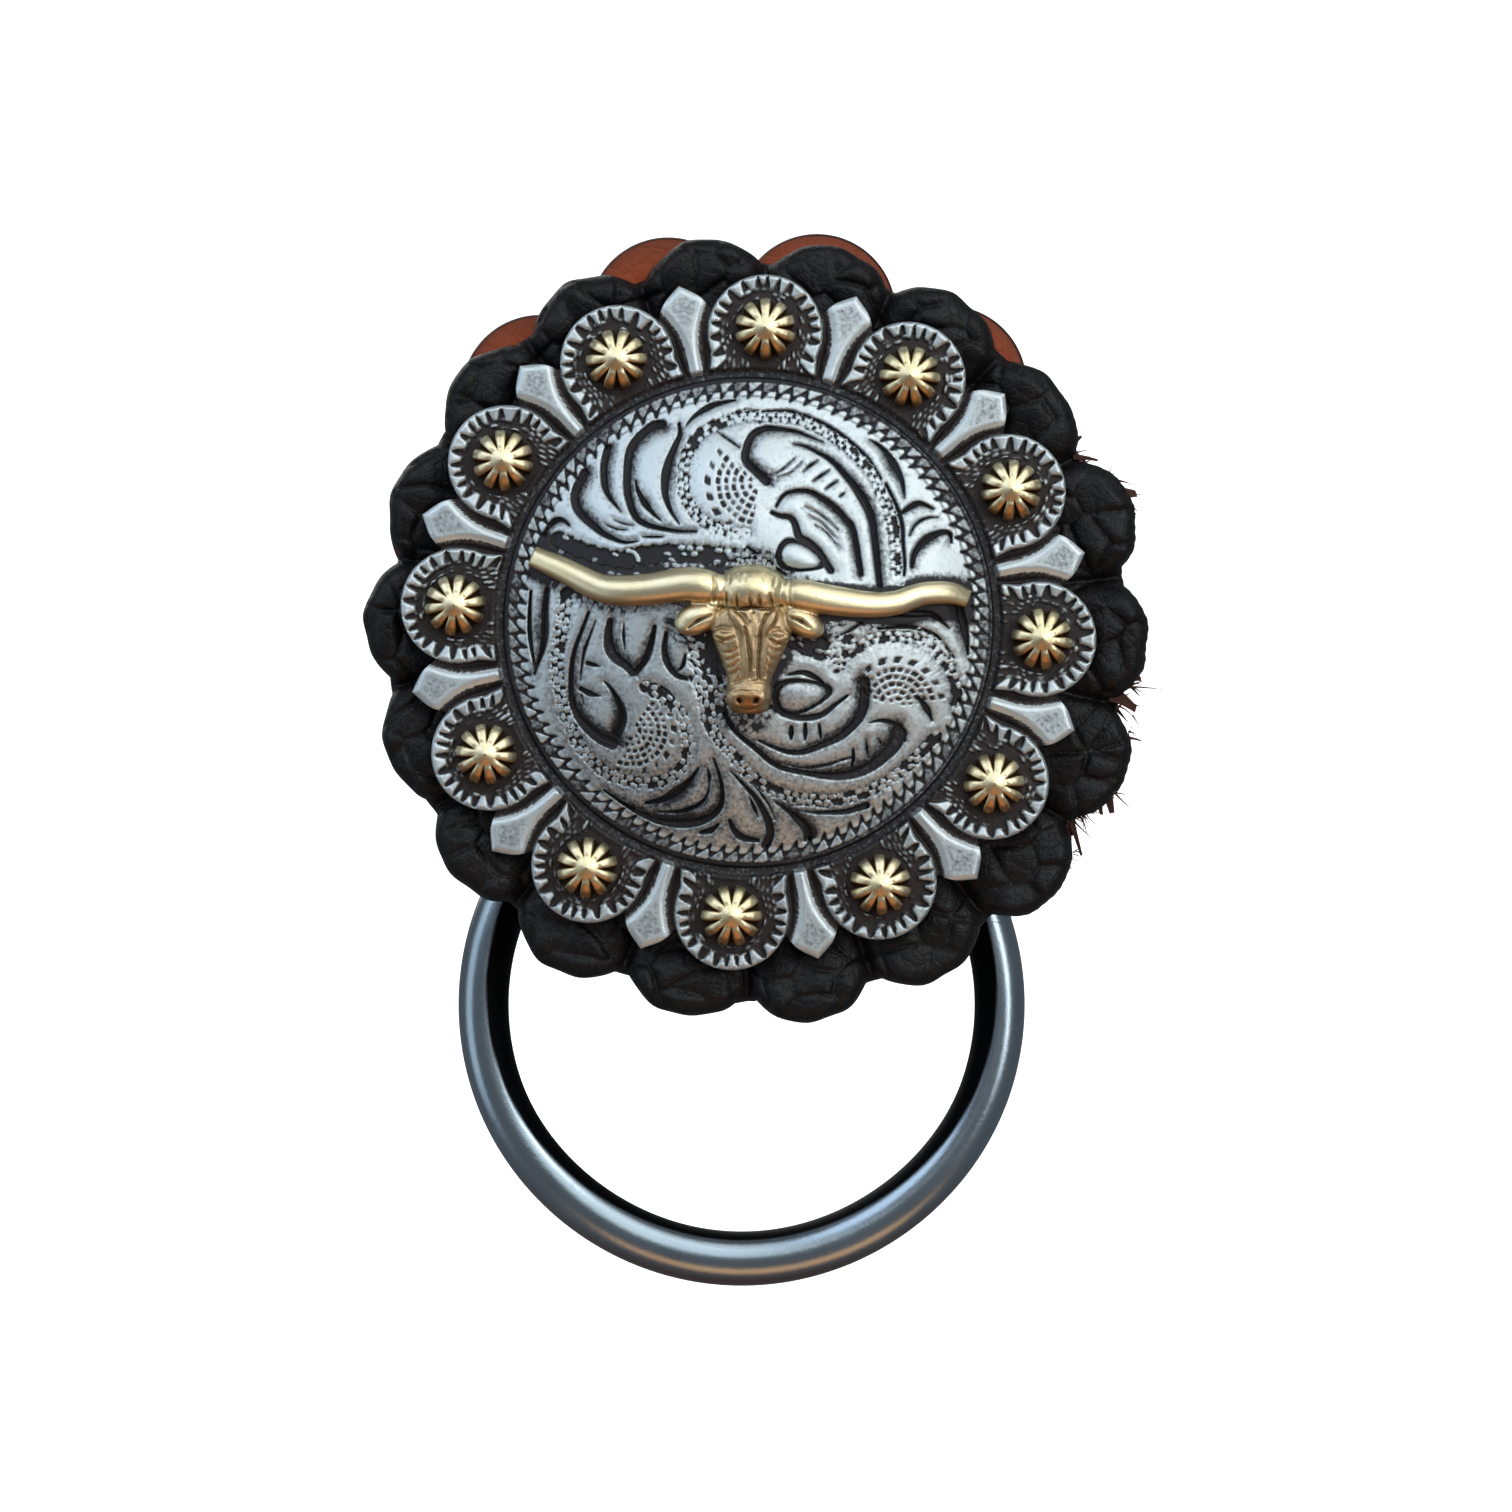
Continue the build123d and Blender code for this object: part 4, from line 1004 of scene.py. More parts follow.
# %% [markdown]
# ## Berries
# The berries are small brass cones, cast with ten petals and set in the dimples. Their tips are rubbed
# bright, and the petals that face down get a painted brown shade. One formula gives all twelve, each
# turned a little further than the last. How far a point looks downwards can't be seen from its place, so
# the normals of a throwaway mesh tell it.

# %% Antique gold
# Its brown is painted shade on the undersides of the berries and the head, and the browner tone of the muzzle
# and face
gold = antique_metal(
    "antique_gold", bright="FCF1D0", warm="ECDAA4", tarnish_and_shade="A87038", dark="46341F", deep="3C2614",
    smooth=0.38, grain=0.5,
)


# %% The form of a berry
berry_radius, berry_height, petals, berry_columns = 1.68, 1.5, 10, 200
berry_shares = (0.02, 0.1, 0.2, 0.3, 0.36, 0.42, 0.48, 0.54, 0.62, 0.7, 0.78, 0.85, 0.91, 0.95, 0.98, 1.0)


def berry_points(turned):
    """Rows of points of one berry, from its tip out and down to its seat, and its patina."""
    around = turn_steps(berry_columns)
    # 1 in the gap between two petals, 0 in the middle of a petal
    petal = np.abs((around / (2 * math.pi) * petals) % 1 * 2 - 1)
    rows, patina_and_shade = [], []
    for share in berry_shares:
        open_share = float(step(0.36, 0.52, share))
        gap_width = np.interp(share, (0.45, 0.72, 1.0), (0.1, 0.24, 0.44))
        gap = step(1 - gap_width - 0.12, 1 - gap_width + 0.12, petal) * open_share
        end = max(share - 0.72, 0) / 0.28
        cone = berry_height * (1 - 0.56 * share) - 0.45 * end**2.5 - 0.1 * (1 - share) ** 6
        level = cone + 0.1 * open_share * (1 - petal**2) - (0.44 - 0.12 * share) * gap
        reach = berry_radius * share * (1 - 0.17 * end * petal**3)
        rows.append((reach, level))
        patina_and_shade.append(np.clip(gap * 1.1, 0, 1))
    last_reach, last_level = rows[-1]
    for drop in (0.35, 0.75, 1.0):
        rows.append((last_reach * (1 - 0.05 * drop), last_level * (1 - drop)))
        patina_and_shade.append(np.full(around.shape, 0.35 + 0.6 * drop))
    reach, level = (np.array([row[k] for row in rows]) for k in (0, 1))
    return reach * np.cos(around + turned), reach * np.sin(around + turned), level, np.array(patina_and_shade)


def point_normals(points, faces):
    """The direction in which each point of a closed grid looks."""
    mesh = bpy.data.meshes.new("measure")
    mesh.from_pydata(points.tolist(), [], faces.tolist())
    normals = read_rows(mesh.vertex_normals, "vector")
    bpy.data.meshes.remove(mesh)
    return normals


# %% Twelve berries
for number in range(lobe_count):
    node = f"berry_{number + 1:02d}"
    low, high = corners_in_mm(node)
    centre = (low + high) / 2
    x, z, level, patina_and_shade = berry_points(0.26 * number)
    points = np.stack([centre[0] + x, high[1] - level, centre[2] + z], axis=-1).reshape(-1, 3)
    faces = grid_faces(*x.shape, closed=True)
    normals = point_normals(points, faces)
    flip = -1 if normals[:, 1].sum() > 0 else 1
    # Painted shade: the petals that face down are made browner and darker
    tarnish_and_shade = step(0.0, -0.6, flip * normals[:, 2]) * 0.9
    numbers = {"patina_and_shade": patina_and_shade, "tarnish_and_shade": tarnish_and_shade}
    berry = make_piece(f"petalled_{node}", points, faces, gold, numbers=numbers)
    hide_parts(node)

# %% [markdown]
# ## Steer's head
# The head is cast as one piece. Here the horns are swept, the poll, face, muzzle and ears are rounded
# lumps, and a voxel remesh melts them into one skin, as a caster's wax does. The hair, brow and cheek
# cuts are then pressed in. All forms lie on the dome: each is given across and up, and by how far it
# lifts off the dome's surface.

# %% Forms of the head, in millimetres from the plate's middle
head_turn = math.radians(2.3)
horn_left = [
    # across, up, width
    (-1.0, 1.72, 1.10),
    (-1.9, 1.74, 1.62),
    (-2.6, 1.80, 1.90),
    (-3.4, 1.84, 1.90),
    (-4.4, 1.68, 1.80),
    (-5.6, 1.48, 1.72),
    (-6.9, 1.38, 1.66),
    (-8.2, 1.52, 1.52),
    (-10.2, 2.42, 1.36),
    (-11.95, 3.12, 1.16),
]
horn_right = [
    # across, up, width
    (1.2, 1.60, 1.05),
    (2.1, 1.56, 1.50),
    (2.9, 1.50, 1.72),
    (4.3, 1.30, 1.66),
    (6.5, 1.15, 1.45),
    (8.0, 1.32, 1.35),
    (9.4, 1.86, 1.30),
    (10.9, 1.98, 1.25),
    (11.95, 1.70, 1.00),
]
face_rows = [
    # up, half width, relief
    (0.95, 1.30, 0.70),
    (0.40, 1.90, 0.95),
    (-0.40, 2.20, 1.05),
    (-1.30, 1.95, 1.10),
    (-2.30, 1.52, 1.10),
    (-3.10, 1.20, 1.02),
    (-3.50, 1.18, 1.16),
    (-4.20, 1.24, 1.20),
    (-4.75, 1.05, 1.10),
    (-5.02, 0.65, 0.80),
]
head_ovals = [
    # across, up, half length, half width, thickness, turn in degrees, lift
    (0.16, 1.72, 1.98, 1.38, 1.5, 0, 0.0),  # poll
    (0.2, 0.95, 1.75, 0.55, 1.0, 0, 0.1),  # forelock
    (-2.8, -0.02, 1.25, 0.86, 0.66, 22, 0.36),  # ears
    (3.0, 0.0, 1.2, 0.76, 0.66, -26, 0.36),
    (-1.3, -0.85, 0.6, 0.36, 0.24, 6, 0.92),  # eyes
    (1.68, -0.8, 0.6, 0.42, 0.26, -6, 0.92),
    (-0.45, -0.2, 1.0, 0.32, 0.3, -52, 0.95),  # brows
    (1.05, -0.2, 0.9, 0.3, 0.3, 62, 0.95),
    (0.05, -1.9, 1.5, 0.2, 0.24, -84, 1.0),  # bridge of the nose
    (0.1, -4.15, 1.15, 0.7, 0.5, 0, 0.9),  # muzzle
    (-2.0, 0.85, 0.5, 0.35, 0.5, 0, 0.25),  # roots of the horns
    (2.3, 0.8, 0.5, 0.35, 0.5, 0, 0.25),
]

# %% From tables to lumps of wax
head_middle = 0.18


def place_head(u, v, lift):
    """Points at a lift above the dome's own surface, in the head's turned frame."""
    c, s = math.cos(head_turn), math.sin(head_turn)
    x, z = u * c + v * s, v * c - u * s
    return np.stack([x, plate_face - dome_height(x, z) - lift, z], axis=-1)


def horn_points(rows):
    """A swept horn: oval rings round its middle line, with a small ring at each end."""
    line = smooth_line(rows, 0.25)
    ways = np.gradient(line[:, :2], axis=0)
    ways /= np.linalg.norm(ways, axis=1)[:, None]
    around = np.linspace(0, 2 * math.pi, 24, endpoint=False)
    rings = []
    for (u, v, width), (du, dv) in zip(line, ways):
        side = np.cos(around) * width / 2
        rings.append(place_head(u - dv * side, v + du * side, 0.28 * width + np.sin(around) * width * 0.44))
    rings = np.array(rings)
    ends = [rings[tip].mean(0) + (rings[tip] - rings[tip].mean(0)) * 0.5 for tip in (0, -1)]
    return np.concatenate([ends[0][None], rings, ends[1][None]])


def face_points():
    """Cross sections of the face: flat in front, falling away at the sides."""
    around = np.linspace(0, math.pi, 25)
    spread = np.sign(np.cos(around)) * np.abs(np.cos(around)) ** 0.75
    rise = np.sin(around) ** 0.62
    sections = []
    for up, half, relief in smooth_line(face_rows, 0.2):
        front = place_head(head_middle + half * spread, up, relief * rise)
        back = place_head(head_middle + half * spread[::-1], up, -0.3)
        sections.append(np.concatenate([front, back]))
    return np.array(sections)


def oval_points(centre_u, centre_v, half_length, half_width, thick, turn_degrees, lift):
    """A closed oval lump lying on the dome."""
    around, down = np.linspace(0, 2 * math.pi, 32, endpoint=False), np.linspace(0.08, math.pi - 0.08, 17)
    across, up = np.meshgrid(around, down)
    c, s = math.cos(math.radians(turn_degrees)), math.sin(math.radians(turn_degrees))
    a, b = half_length * np.sin(up) * np.cos(across), half_width * np.sin(up) * np.sin(across)
    return place_head(centre_u + a * c - b * s, centre_v + a * s + b * c, lift + thick * np.cos(up))


def closed_faces(rows, columns):
    """Faces of a tube of rings with its two ends capped."""
    caps = [list(range(columns))[::-1], list(range((rows - 1) * columns, rows * columns))]
    return grid_faces(rows, columns, closed=True).tolist() + caps


head_lumps = [horn_points(horn_left), horn_points(horn_right), face_points()]
head_lumps += [oval_points(*row) for row in head_ovals]
print(len(head_lumps), "lumps of wax")

# %% Cuts of the head
head_cuts = [
    # points across and up, width at the start, middle and end, depth
    ([(-1.25, 1.4), (-1.2, 0.75)], (0.06, 0.13, 0.06), 0.24),
    ([(-0.7, 1.35), (-0.62, 0.68)], (0.06, 0.13, 0.06), 0.24),
    ([(0.0, 1.4), (0.1, 0.9), (0.3, 0.45)], (0.06, 0.13, 0.06), 0.24),
    ([(0.52, 1.38), (0.62, 0.75)], (0.06, 0.14, 0.06), 0.24),
    ([(1.12, 1.42), (1.3, 0.85)], (0.06, 0.13, 0.06), 0.24),
    ([(-1.6, 0.72), (-0.6, 0.62), (0.1, 0.72), (1.1, 0.7), (1.75, 0.9)], (0.1, 0.18, 0.1), 0.22),
    ([(-1.1, 2.4), (-1.1, 2.0)], (0.05, 0.12, 0.05), 0.1),
    ([(-0.65, 2.45), (-0.55, 2.1)], (0.04, 0.09, 0.04), 0.08),
    ([(-0.3, 2.45), (-0.22, 2.15)], (0.04, 0.09, 0.04), 0.08),
    ([(0.7, 2.5), (0.75, 2.15)], (0.04, 0.08, 0.04), 0.07),
    ([(1.38, 2.3), (1.3, 1.95)], (0.05, 0.13, 0.05), 0.12),
    ([(-1.95, 2.5), (-1.85, 1.8), (-1.95, 1.0)], (0.06, 0.16, 0.14), 0.14),
    ([(2.2, 2.35), (2.14, 1.6), (2.25, 0.9)], (0.06, 0.16, 0.14), 0.14),
    ([(-0.75, 0.45), (-0.3, 0.25), (0.05, -0.15)], (0.06, 0.16, 0.08), 0.16),
    ([(0.12, 0.5), (0.0, 0.1)], (0.05, 0.12, 0.04), 0.12),
    ([(0.42, 0.45), (0.52, -0.1)], (0.05, 0.12, 0.04), 0.12),
    ([(-0.15, -0.4), (0.02, -1.2), (0.18, -2.1), (0.2, -3.1)], (0.1, 0.2, 0.08), 0.2),
    ([(0.95, 0.35), (0.72, -0.4), (0.65, -1.4), (0.62, -2.4), (0.72, -3.15)], (0.12, 0.22, 0.12), 0.2),
    ([(0.42, -0.9), (0.4, -1.8), (0.42, -2.6)], (0.05, 0.1, 0.05), 0.1),
    ([(-0.75, -0.35), (-0.45, -1.2), (-0.3, -2.2), (-0.28, -3.0)], (0.05, 0.1, 0.05), 0.1),
    ([(1.2, -0.3), (1.05, -1.2), (0.98, -2.2), (1.0, -3.0)], (0.05, 0.1, 0.05), 0.1),
    ([(-1.75, -0.5), (-1.35, -0.42), (-1.0, -0.5)], (0.05, 0.12, 0.05), 0.14),
    ([(-1.8, -0.95), (-1.3, -1.12), (-0.75, -0.95)], (0.05, 0.14, 0.05), 0.16),
    ([(-1.55, -0.72), (-1.25, -0.8), (-0.95, -0.72)], (0.05, 0.1, 0.05), 0.1),
    ([(1.15, -0.6), (1.6, -0.4), (2.1, -0.6)], (0.05, 0.12, 0.05), 0.14),
    ([(1.15, -1.0), (1.6, -1.2), (2.15, -1.0)], (0.05, 0.14, 0.05), 0.16),
    ([(1.4, -0.78), (1.65, -0.88), (1.9, -0.78)], (0.05, 0.1, 0.05), 0.1),
    ([(-1.25, -1.8), (-0.85, -1.75), (-0.6, -1.55)], (0.04, 0.14, 0.05), 0.15),
    ([(-1.1, -2.2), (-0.8, -2.1), (-0.5, -1.9)], (0.04, 0.14, 0.05), 0.15),
    ([(-0.95, -2.6), (-0.7, -2.45), (-0.48, -2.2)], (0.04, 0.14, 0.05), 0.15),
    ([(-0.9, -2.98), (-0.65, -2.85), (-0.42, -2.65)], (0.04, 0.14, 0.05), 0.15),
    ([(-0.7, -3.4), (-0.4, -3.3), (-0.1, -3.15)], (0.04, 0.14, 0.05), 0.15),
    ([(1.25, -1.45), (1.6, -1.6), (2.0, -1.5)], (0.04, 0.14, 0.05), 0.15),
    ([(1.2, -1.85), (1.45, -2.0), (1.75, -2.1)], (0.04, 0.14, 0.05), 0.15),
    ([(1.1, -2.3), (1.3, -2.45), (1.5, -2.62)], (0.04, 0.14, 0.05), 0.15),
    ([(1.1, -2.75), (1.3, -2.9), (1.5, -3.05)], (0.04, 0.14, 0.05), 0.15),
    ([(0.3, -3.3), (0.9, -3.25), (1.4, -3.4)], (0.04, 0.14, 0.05), 0.15),
    ([(-3.25, -0.55), (-2.7, -0.1), (-2.05, 0.2)], (0.04, 0.2, 0.05), 0.25),
    ([(3.3, -0.25), (2.8, 0.1), (2.25, 0.25)], (0.04, 0.2, 0.05), 0.25),
    ([(-0.36, -4.28), (-0.28, -4.38)], (0.18, 0.22, 0.18), 0.3),
    ([(0.62, -4.25), (0.56, -4.35)], (0.18, 0.22, 0.18), 0.3),
    ([(-0.45, -4.72), (0.12, -4.84), (0.65, -4.72)], (0.05, 0.08, 0.05), 0.08),
    ([(-0.6, -3.95), (-0.3, -3.82), (0.12, -3.86), (0.5, -3.8), (0.85, -3.92)], (0.04, 0.1, 0.04), 0.1),
]
print(len(head_cuts), "cuts")


# %% Melt the lumps into one skin
def melt(lumps, voxel):
    """One closed skin over several overlapping lumps. It works at a thousand times life size."""
    points, faces, count = [], [], 0
    for lump in lumps:
        rows, columns = lump.shape[:2]
        faces += [[index + count for index in face] for face in closed_faces(rows, columns)]
        points.append(lump.reshape(-1, 3))
        count += rows * columns
    mesh = bpy.data.meshes.new("wax")
    mesh.from_pydata(np.concatenate(points).tolist(), [], faces)
    face_outwards(mesh)
    wax = bpy.data.objects.new("wax", mesh)
    bpy.context.scene.collection.objects.link(wax)
    remesh = wax.modifiers.new("melt", "REMESH")
    remesh.mode = "VOXEL"
    remesh.voxel_size = voxel
    soften = wax.modifiers.new("soften", "SMOOTH")
    soften.factor = 0.4
    soften.iterations = 3
    skin = bpy.data.meshes.new_from_object(wax.evaluated_get(bpy.context.evaluated_depsgraph_get()))
    bpy.data.objects.remove(wax)
    quads = [list(face.vertices) for face in skin.polygons]
    return read_rows(skin.vertices, "co"), quads, read_rows(skin.vertex_normals, "vector")


head_places, head_faces, head_normals = melt(head_lumps, voxel=0.07)
print("skin of", len(head_faces), "faces")


# %% Press the cuts in and finish the head
def press_cuts(places, normals, cuts):
    """Depth of the cuts at each place of the head's front, in millimetres."""
    c, s = math.cos(head_turn), math.sin(head_turn)
    u, v = places[:, 0] * c - places[:, 2] * s, places[:, 0] * s + places[:, 2] * c
    depth = np.zeros(len(places))
    for points, widths, deep in cuts:
        line = smooth_line(points, 0.08)
        near = near_line(line, u, v, 0.4)
        gap, along, _, total = follow(line, u[near], v[near])
        half = np.interp(along / total, (0, 0.5, 1), widths) / 2
        depth[near] = np.maximum(depth[near], deep * step(0.1, -0.08, gap - half))
    return depth * step(0.1, 0.5, -normals[:, 1])


pressed = press_cuts(head_places, head_normals, head_cuts)
head_places = head_places + np.array([0, 1, 0]) * pressed[:, None]
head_x, head_z = head_places[:, 0], head_places[:, 2]
# The muzzle and the face are browner than the horns, which the hand rubs, and the undersides get a painted
# brown shade
muzzle = step(1.0, 0.6, np.hypot((head_x - 0.05) / 0.95, (head_z + 4.35) / 0.6))
painted_underside_shade = step(-0.2, -0.85, head_normals[:, 2])
face_zone = step(0.9, 0.3, head_z) * step(2.6, 2.1, np.abs(head_x - 0.15))
head_patina = np.maximum(np.clip(pressed / 0.25, 0, 1) * 0.75, 0.3 * face_zone)
head_tarnish_and_shade = np.maximum.reduce([0.85 * painted_underside_shade, 0.85 * muzzle, 0.5 * face_zone])
head = make_piece(
    "cast_steer_head", head_places, head_faces, gold,
    numbers={"patina_and_shade": head_patina, "tarnish_and_shade": head_tarnish_and_shade}, solid=True,
)
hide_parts("steer_head")

# %% [markdown]
# ## Leather
# Leather is a hide whose grain side is finished and whose flesh side is left rough. The grain shows as
# pebbles with fine pores on them, which break up the shine, and the dye lies in soft clouds. Where `edge`
# is 1 the cut edge takes its own colour, and where `flesh` is 1 the matt, napped flesh side shows.


# %% Leather
def leather(name, light, dark, rough, pebble, edge, flesh):
    """Tanned leather with pebbles of a size in millimetres, a cut edge and a napped flesh side."""
    material, tree = new_tree(name)
    place = add(tree, "ShaderNodeTexCoord").outputs["Object"]
    grain = add(
        tree, "ShaderNodeTexVoronoi",
        {"Vector": place, "Scale": 1 / (pebble * MM)}, feature="DISTANCE_TO_EDGE",
    )
    # Pores of about a third of a millimetre, and clouds of dye of four and a half
    fine = add(
        tree, "ShaderNodeTexNoise",
        {"Vector": place, "Scale": 1 / (0.35 * MM), "Detail": 5.0, "Roughness": 0.65},
    )
    cloud = add(tree, "ShaderNodeTexNoise", {"Vector": place, "Scale": 1 / (4.5 * MM), "Detail": 3.0})
    dyed = add(
        tree, "ShaderNodeMix", {0: cloud.outputs[0], 6: linear(dark), 7: linear(light)}, data_type="RGBA"
    )
    # Nap: short fibres of about a fifth of a millimetre that mottle the flesh side
    nap = add(
        tree, "ShaderNodeTexNoise",
        {"Vector": place, "Scale": 1 / (0.2 * MM), "Detail": 6.0, "Distortion": 1.5},
    )
    napped = add(
        tree, "ShaderNodeMix", {0: nap.outputs[0], 6: linear(dark), 7: linear(flesh)}, data_type="RGBA"
    )
    behind = add(tree, "ShaderNodeAttribute", attribute_name="flesh").outputs["Fac"]
    sides = add(
        tree, "ShaderNodeMix", {0: behind, 6: dyed.outputs[2], 7: napped.outputs[2]}, data_type="RGBA"
    )
    mark = add(tree, "ShaderNodeAttribute", attribute_name="edge").outputs["Fac"]
    colour = add(tree, "ShaderNodeMix", {0: mark, 6: sides.outputs[2], 7: linear(edge)}, data_type="RGBA")
    polish = add(
        tree, "ShaderNodeMapRange", {0: fine.outputs[0], 1: 0.3, 2: 0.7, 3: rough - 0.1, 4: rough + 0.12}
    )
    shine = add(tree, "ShaderNodeMix", {0: behind, 2: polish.outputs[0], 3: 0.9}, data_type="FLOAT")
    cells = add(tree, "ShaderNodeMapRange", {0: grain.outputs["Distance"], 1: 0.0, 2: 0.12})
    height = add(
        tree, "ShaderNodeMath", {0: cells.outputs[0], 1: 0.5, 2: fine.outputs[0]}, operation="MULTIPLY_ADD"
    )
    bump = add(tree, "ShaderNodeBump", {"Height": height.outputs[0], "Strength": 0.5, "Distance": 0.07 * MM})
    finish = {"Roughness": shine.outputs[0], "Normal": bump.outputs[0], "Specular IOR Level": 0.28}
    surface = add(tree, "ShaderNodeBsdfPrincipled", {"Base Color": colour.outputs[2], **finish})
    add(tree, "ShaderNodeOutputMaterial", {0: surface.outputs[0]})
    return material


black_leather = leather(
    "black_pebbled_leather", light="131112", dark="080708", rough=0.45, pebble=0.5,
    edge="3A211A", flesh="4A4342",
)

# %% [markdown]
# ## The form of a rosette
# Both rosettes are discs with scallops, cut with a die and punched for the screw. Each is one closed
# sheet: it goes from the hole out over the front, round the edge and back to the hole behind, where its
# last row meets its first.


# %% The scalloped form of a rosette
def rosette_rows(spoke, centre, reach, edge_round, front_shares, turns, back_shares):
    """Rows of x and z from the hole out, round the edge and in again behind, and how far back each lies."""
    away = np.stack([np.cos(spoke), np.sin(spoke)])
    hole = screw_hole_radius * away
    brim = np.array(centre)[:, None] + (reach - edge_round) * away
    rows = [(hole + (brim - hole) * share, 0.0) for share in front_shares]
    rows += [(brim + edge_round * math.sin(turn) * away, (1 - math.cos(turn)) / 2) for turn in turns]
    rows += [(hole + (brim - hole) * share, 1.0) for share in back_shares]
    places = np.array([place for place, _ in rows])
    side = np.array([np.full(len(spoke), depth) for _, depth in rows])
    return places[:, 0], places[:, 1], side


def scallop_outline(bearing, count, radius, scallop_radius, turned):
    """How far out a rosette reaches, the bearing from the nearest scallop's middle, and its number."""
    pitch = 2 * math.pi / count
    folded = (bearing - math.pi / 2 + math.radians(turned) + pitch / 2) % pitch - pitch / 2
    ring = radius - scallop_radius
    inner = np.maximum(scallop_radius**2 - (ring * np.sin(folded)) ** 2, 0)
    reach = ring * np.cos(folded) + np.sqrt(inner)
    number = np.round((bearing - folded) / pitch) % count
    return reach, folded, number


# %% [markdown]
# ## Black leather rosette
# The rosette behind the plate is thick, soft, pebbled black leather with eighteen scallops. It has folded
# over the years into facets of a few millimetres with creases between them, and its cut edges have
# rounded and lifted. The creases run halfway between scattered seeds, and each facet tilts its own way. A
# slow wave field bends the lines, so that no crease is straight.


# %% Creases and facets
def ripple(x, z, scale, turned):
    """A smooth wave field from -1 to 1 with no visible repeat, for places in millimetres."""
    c, s = math.cos(turned), math.sin(turned)
    a, b = (x * c + z * s) / scale, (z * c - x * s) / scale
    return (np.sin(a + 1.7 * np.sin(0.61 * b + turned)) + np.sin(1.31 * b + 1.3 * np.sin(0.83 * a))) / 2


def crease_cells(x, z, spacing, seed):
    """Distance from the nearest crease, and the height that a facet's tilt gives."""
    draw = np.random.default_rng(seed)
    warp_x = 0.4 * ripple(x, z, 1.5, 0.4) + 0.05 * ripple(x, z, 0.4, 1.9)
    warp_z = 0.4 * ripple(x, z, 1.5, 2.2) + 0.05 * ripple(x, z, 0.4, 0.9)
    x, z = x + warp_x, z + warp_z
    inner, outer = 14, 26  # seeds are only needed where the leather shows
    steps = np.arange(-outer, outer + spacing, spacing)
    seeds = np.array([(a, b) for a in steps for b in steps if inner < math.hypot(a, b) < outer])
    seeds = seeds + draw.uniform(-0.5, 0.5, seeds.shape) * spacing
    tilts = draw.uniform(-1, 1, (len(seeds), 2))
    first, second = np.full(x.shape, 99.0), np.full(x.shape, 99.0)
    facet = np.zeros(x.shape)
    for (seed_x, seed_z), (tilt_x, tilt_z) in zip(seeds, tilts):
        away = np.hypot(x - seed_x, (z - seed_z) * 1.15)
        closer = away < first
        second = np.where(closer, first, np.minimum(second, away))
        facet = np.where(closer, tilt_x * (x - seed_x) + tilt_z * (z - seed_z), facet)
        first = np.where(closer, away, first)
    return second - first, facet


# %% Outline and rows of the black rosette
black_low, black_high = corners_in_mm("black_rosette")
black_front, black_back = black_low[1], black_high[1]
black_thick = black_back - black_front
black_x, black_z = 0.45, -0.4
black_scallops, black_radius, black_scallop_radius, black_turned = 18, 21.8, 3.75, -8.5
black_spokes, black_edge_round = 1080, 0.95
# How far each scallop reaches, from the right and round over the top
scallop_tips = np.array(
    [21.6, 21.9, 21.35, 21.5, 21.6, 21.8, 21.8, 21.75, 21.5]
    + [21.65, 21.5, 21.5, 21.8, 21.6, 21.8, 21.7, 22.0, 21.9]
)
spoke = turn_steps(black_spokes)
reach, folded, number = scallop_outline(
    spoke, black_scallops, black_radius, black_scallop_radius, black_turned
)
reach = reach + (scallop_tips[number.astype(int)] - black_radius) * np.cos(folded * black_scallops / 2)
# The notches between scallops have filled up a little, each by its own amount
filled = 20.2 + 0.35 * scatter(np.round(spoke * 9 / math.pi), np.full(spoke.shape, 4.0))
reach = np.maximum(reach, filled) + 0.05 * np.sin(spoke * 37) + 0.04 * np.sin(spoke * 61 + 1)
# The right side is rubbed raw, so its edge is rougher
right_side = step(0.6, 0.95, np.cos(spoke + 0.12))
reach = reach + right_side * 0.04 * np.sin(spoke * 143) * np.sin(spoke * 97 + 2)
x, z, side = rosette_rows(
    spoke, (black_x, black_z), reach, black_edge_round,
    front_shares=np.concatenate([[0, 0.25, 0.45], np.linspace(0.6, 0.76, 8), np.linspace(0.78, 1, 42)]),
    turns=np.radians(np.linspace(10, 170, 14)),
    back_shares=(1.0, 0.9, 0.7, 0.3, 0.0),
)
print("black rosette", len(x), "rows of", black_spokes, "points, reaching", round(reach.max(), 2), "mm")

# %% Creases, puffs and raw edge of the black rosette
plate_reach, free_reach = 17.6, 19.8  # the plate presses the leather flat within the first
out = np.hypot(x - black_x, z - black_z)
from_plate = np.hypot(x, z)
crease, facet = crease_cells(x, z, 2.15, seed=11)
fine_crease, fine_facet = crease_cells(x, z, 1.2, seed=23)
valley = out * np.sin(math.pi / black_scallops - np.abs(folded))
free = step(plate_reach, free_reach, from_plate)
puff = free * (0.2 + 0.4 * scatter(number, np.full(number.shape, 9.0))) * step(-0.2, 1.8, valley)
dip = 0.85 * np.exp(-np.abs(valley) / 0.35) * step(15.5, 18.5, out)
sharp = 0.15 - 0.09 * step(-8, -14, z)
folds = sharp * np.exp(-crease / 0.12) + 0.2 * np.exp(-crease / 0.5) + 0.025 * np.exp(-fine_crease / 0.12)
tilt = 0.22 * facet * (1 - np.exp(-crease / 0.4)) + 0.05 * fine_facet
change = (1 - side) * (puff - dip - folds * step(16.5, 18, out) + tilt * free)
change = np.where(from_plate < plate_reach, np.minimum(change, 0), change)
y = black_front + black_thick * side - change - side * 0.3 * puff
raw_edge = step(0.25, 0.7, side) * (0.35 + 0.65 * right_side) * step(20, 21, out)
points = np.stack([x, y, z], axis=-1).reshape(-1, 3)
black = make_piece(
    "pebbled_black_rosette", points, grid_faces(*x.shape, closed=True, looped=True), black_leather,
    numbers={"edge": raw_edge, "flesh": step(0.85, 1, side)}, solid=True,
)
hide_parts("black_rosette")

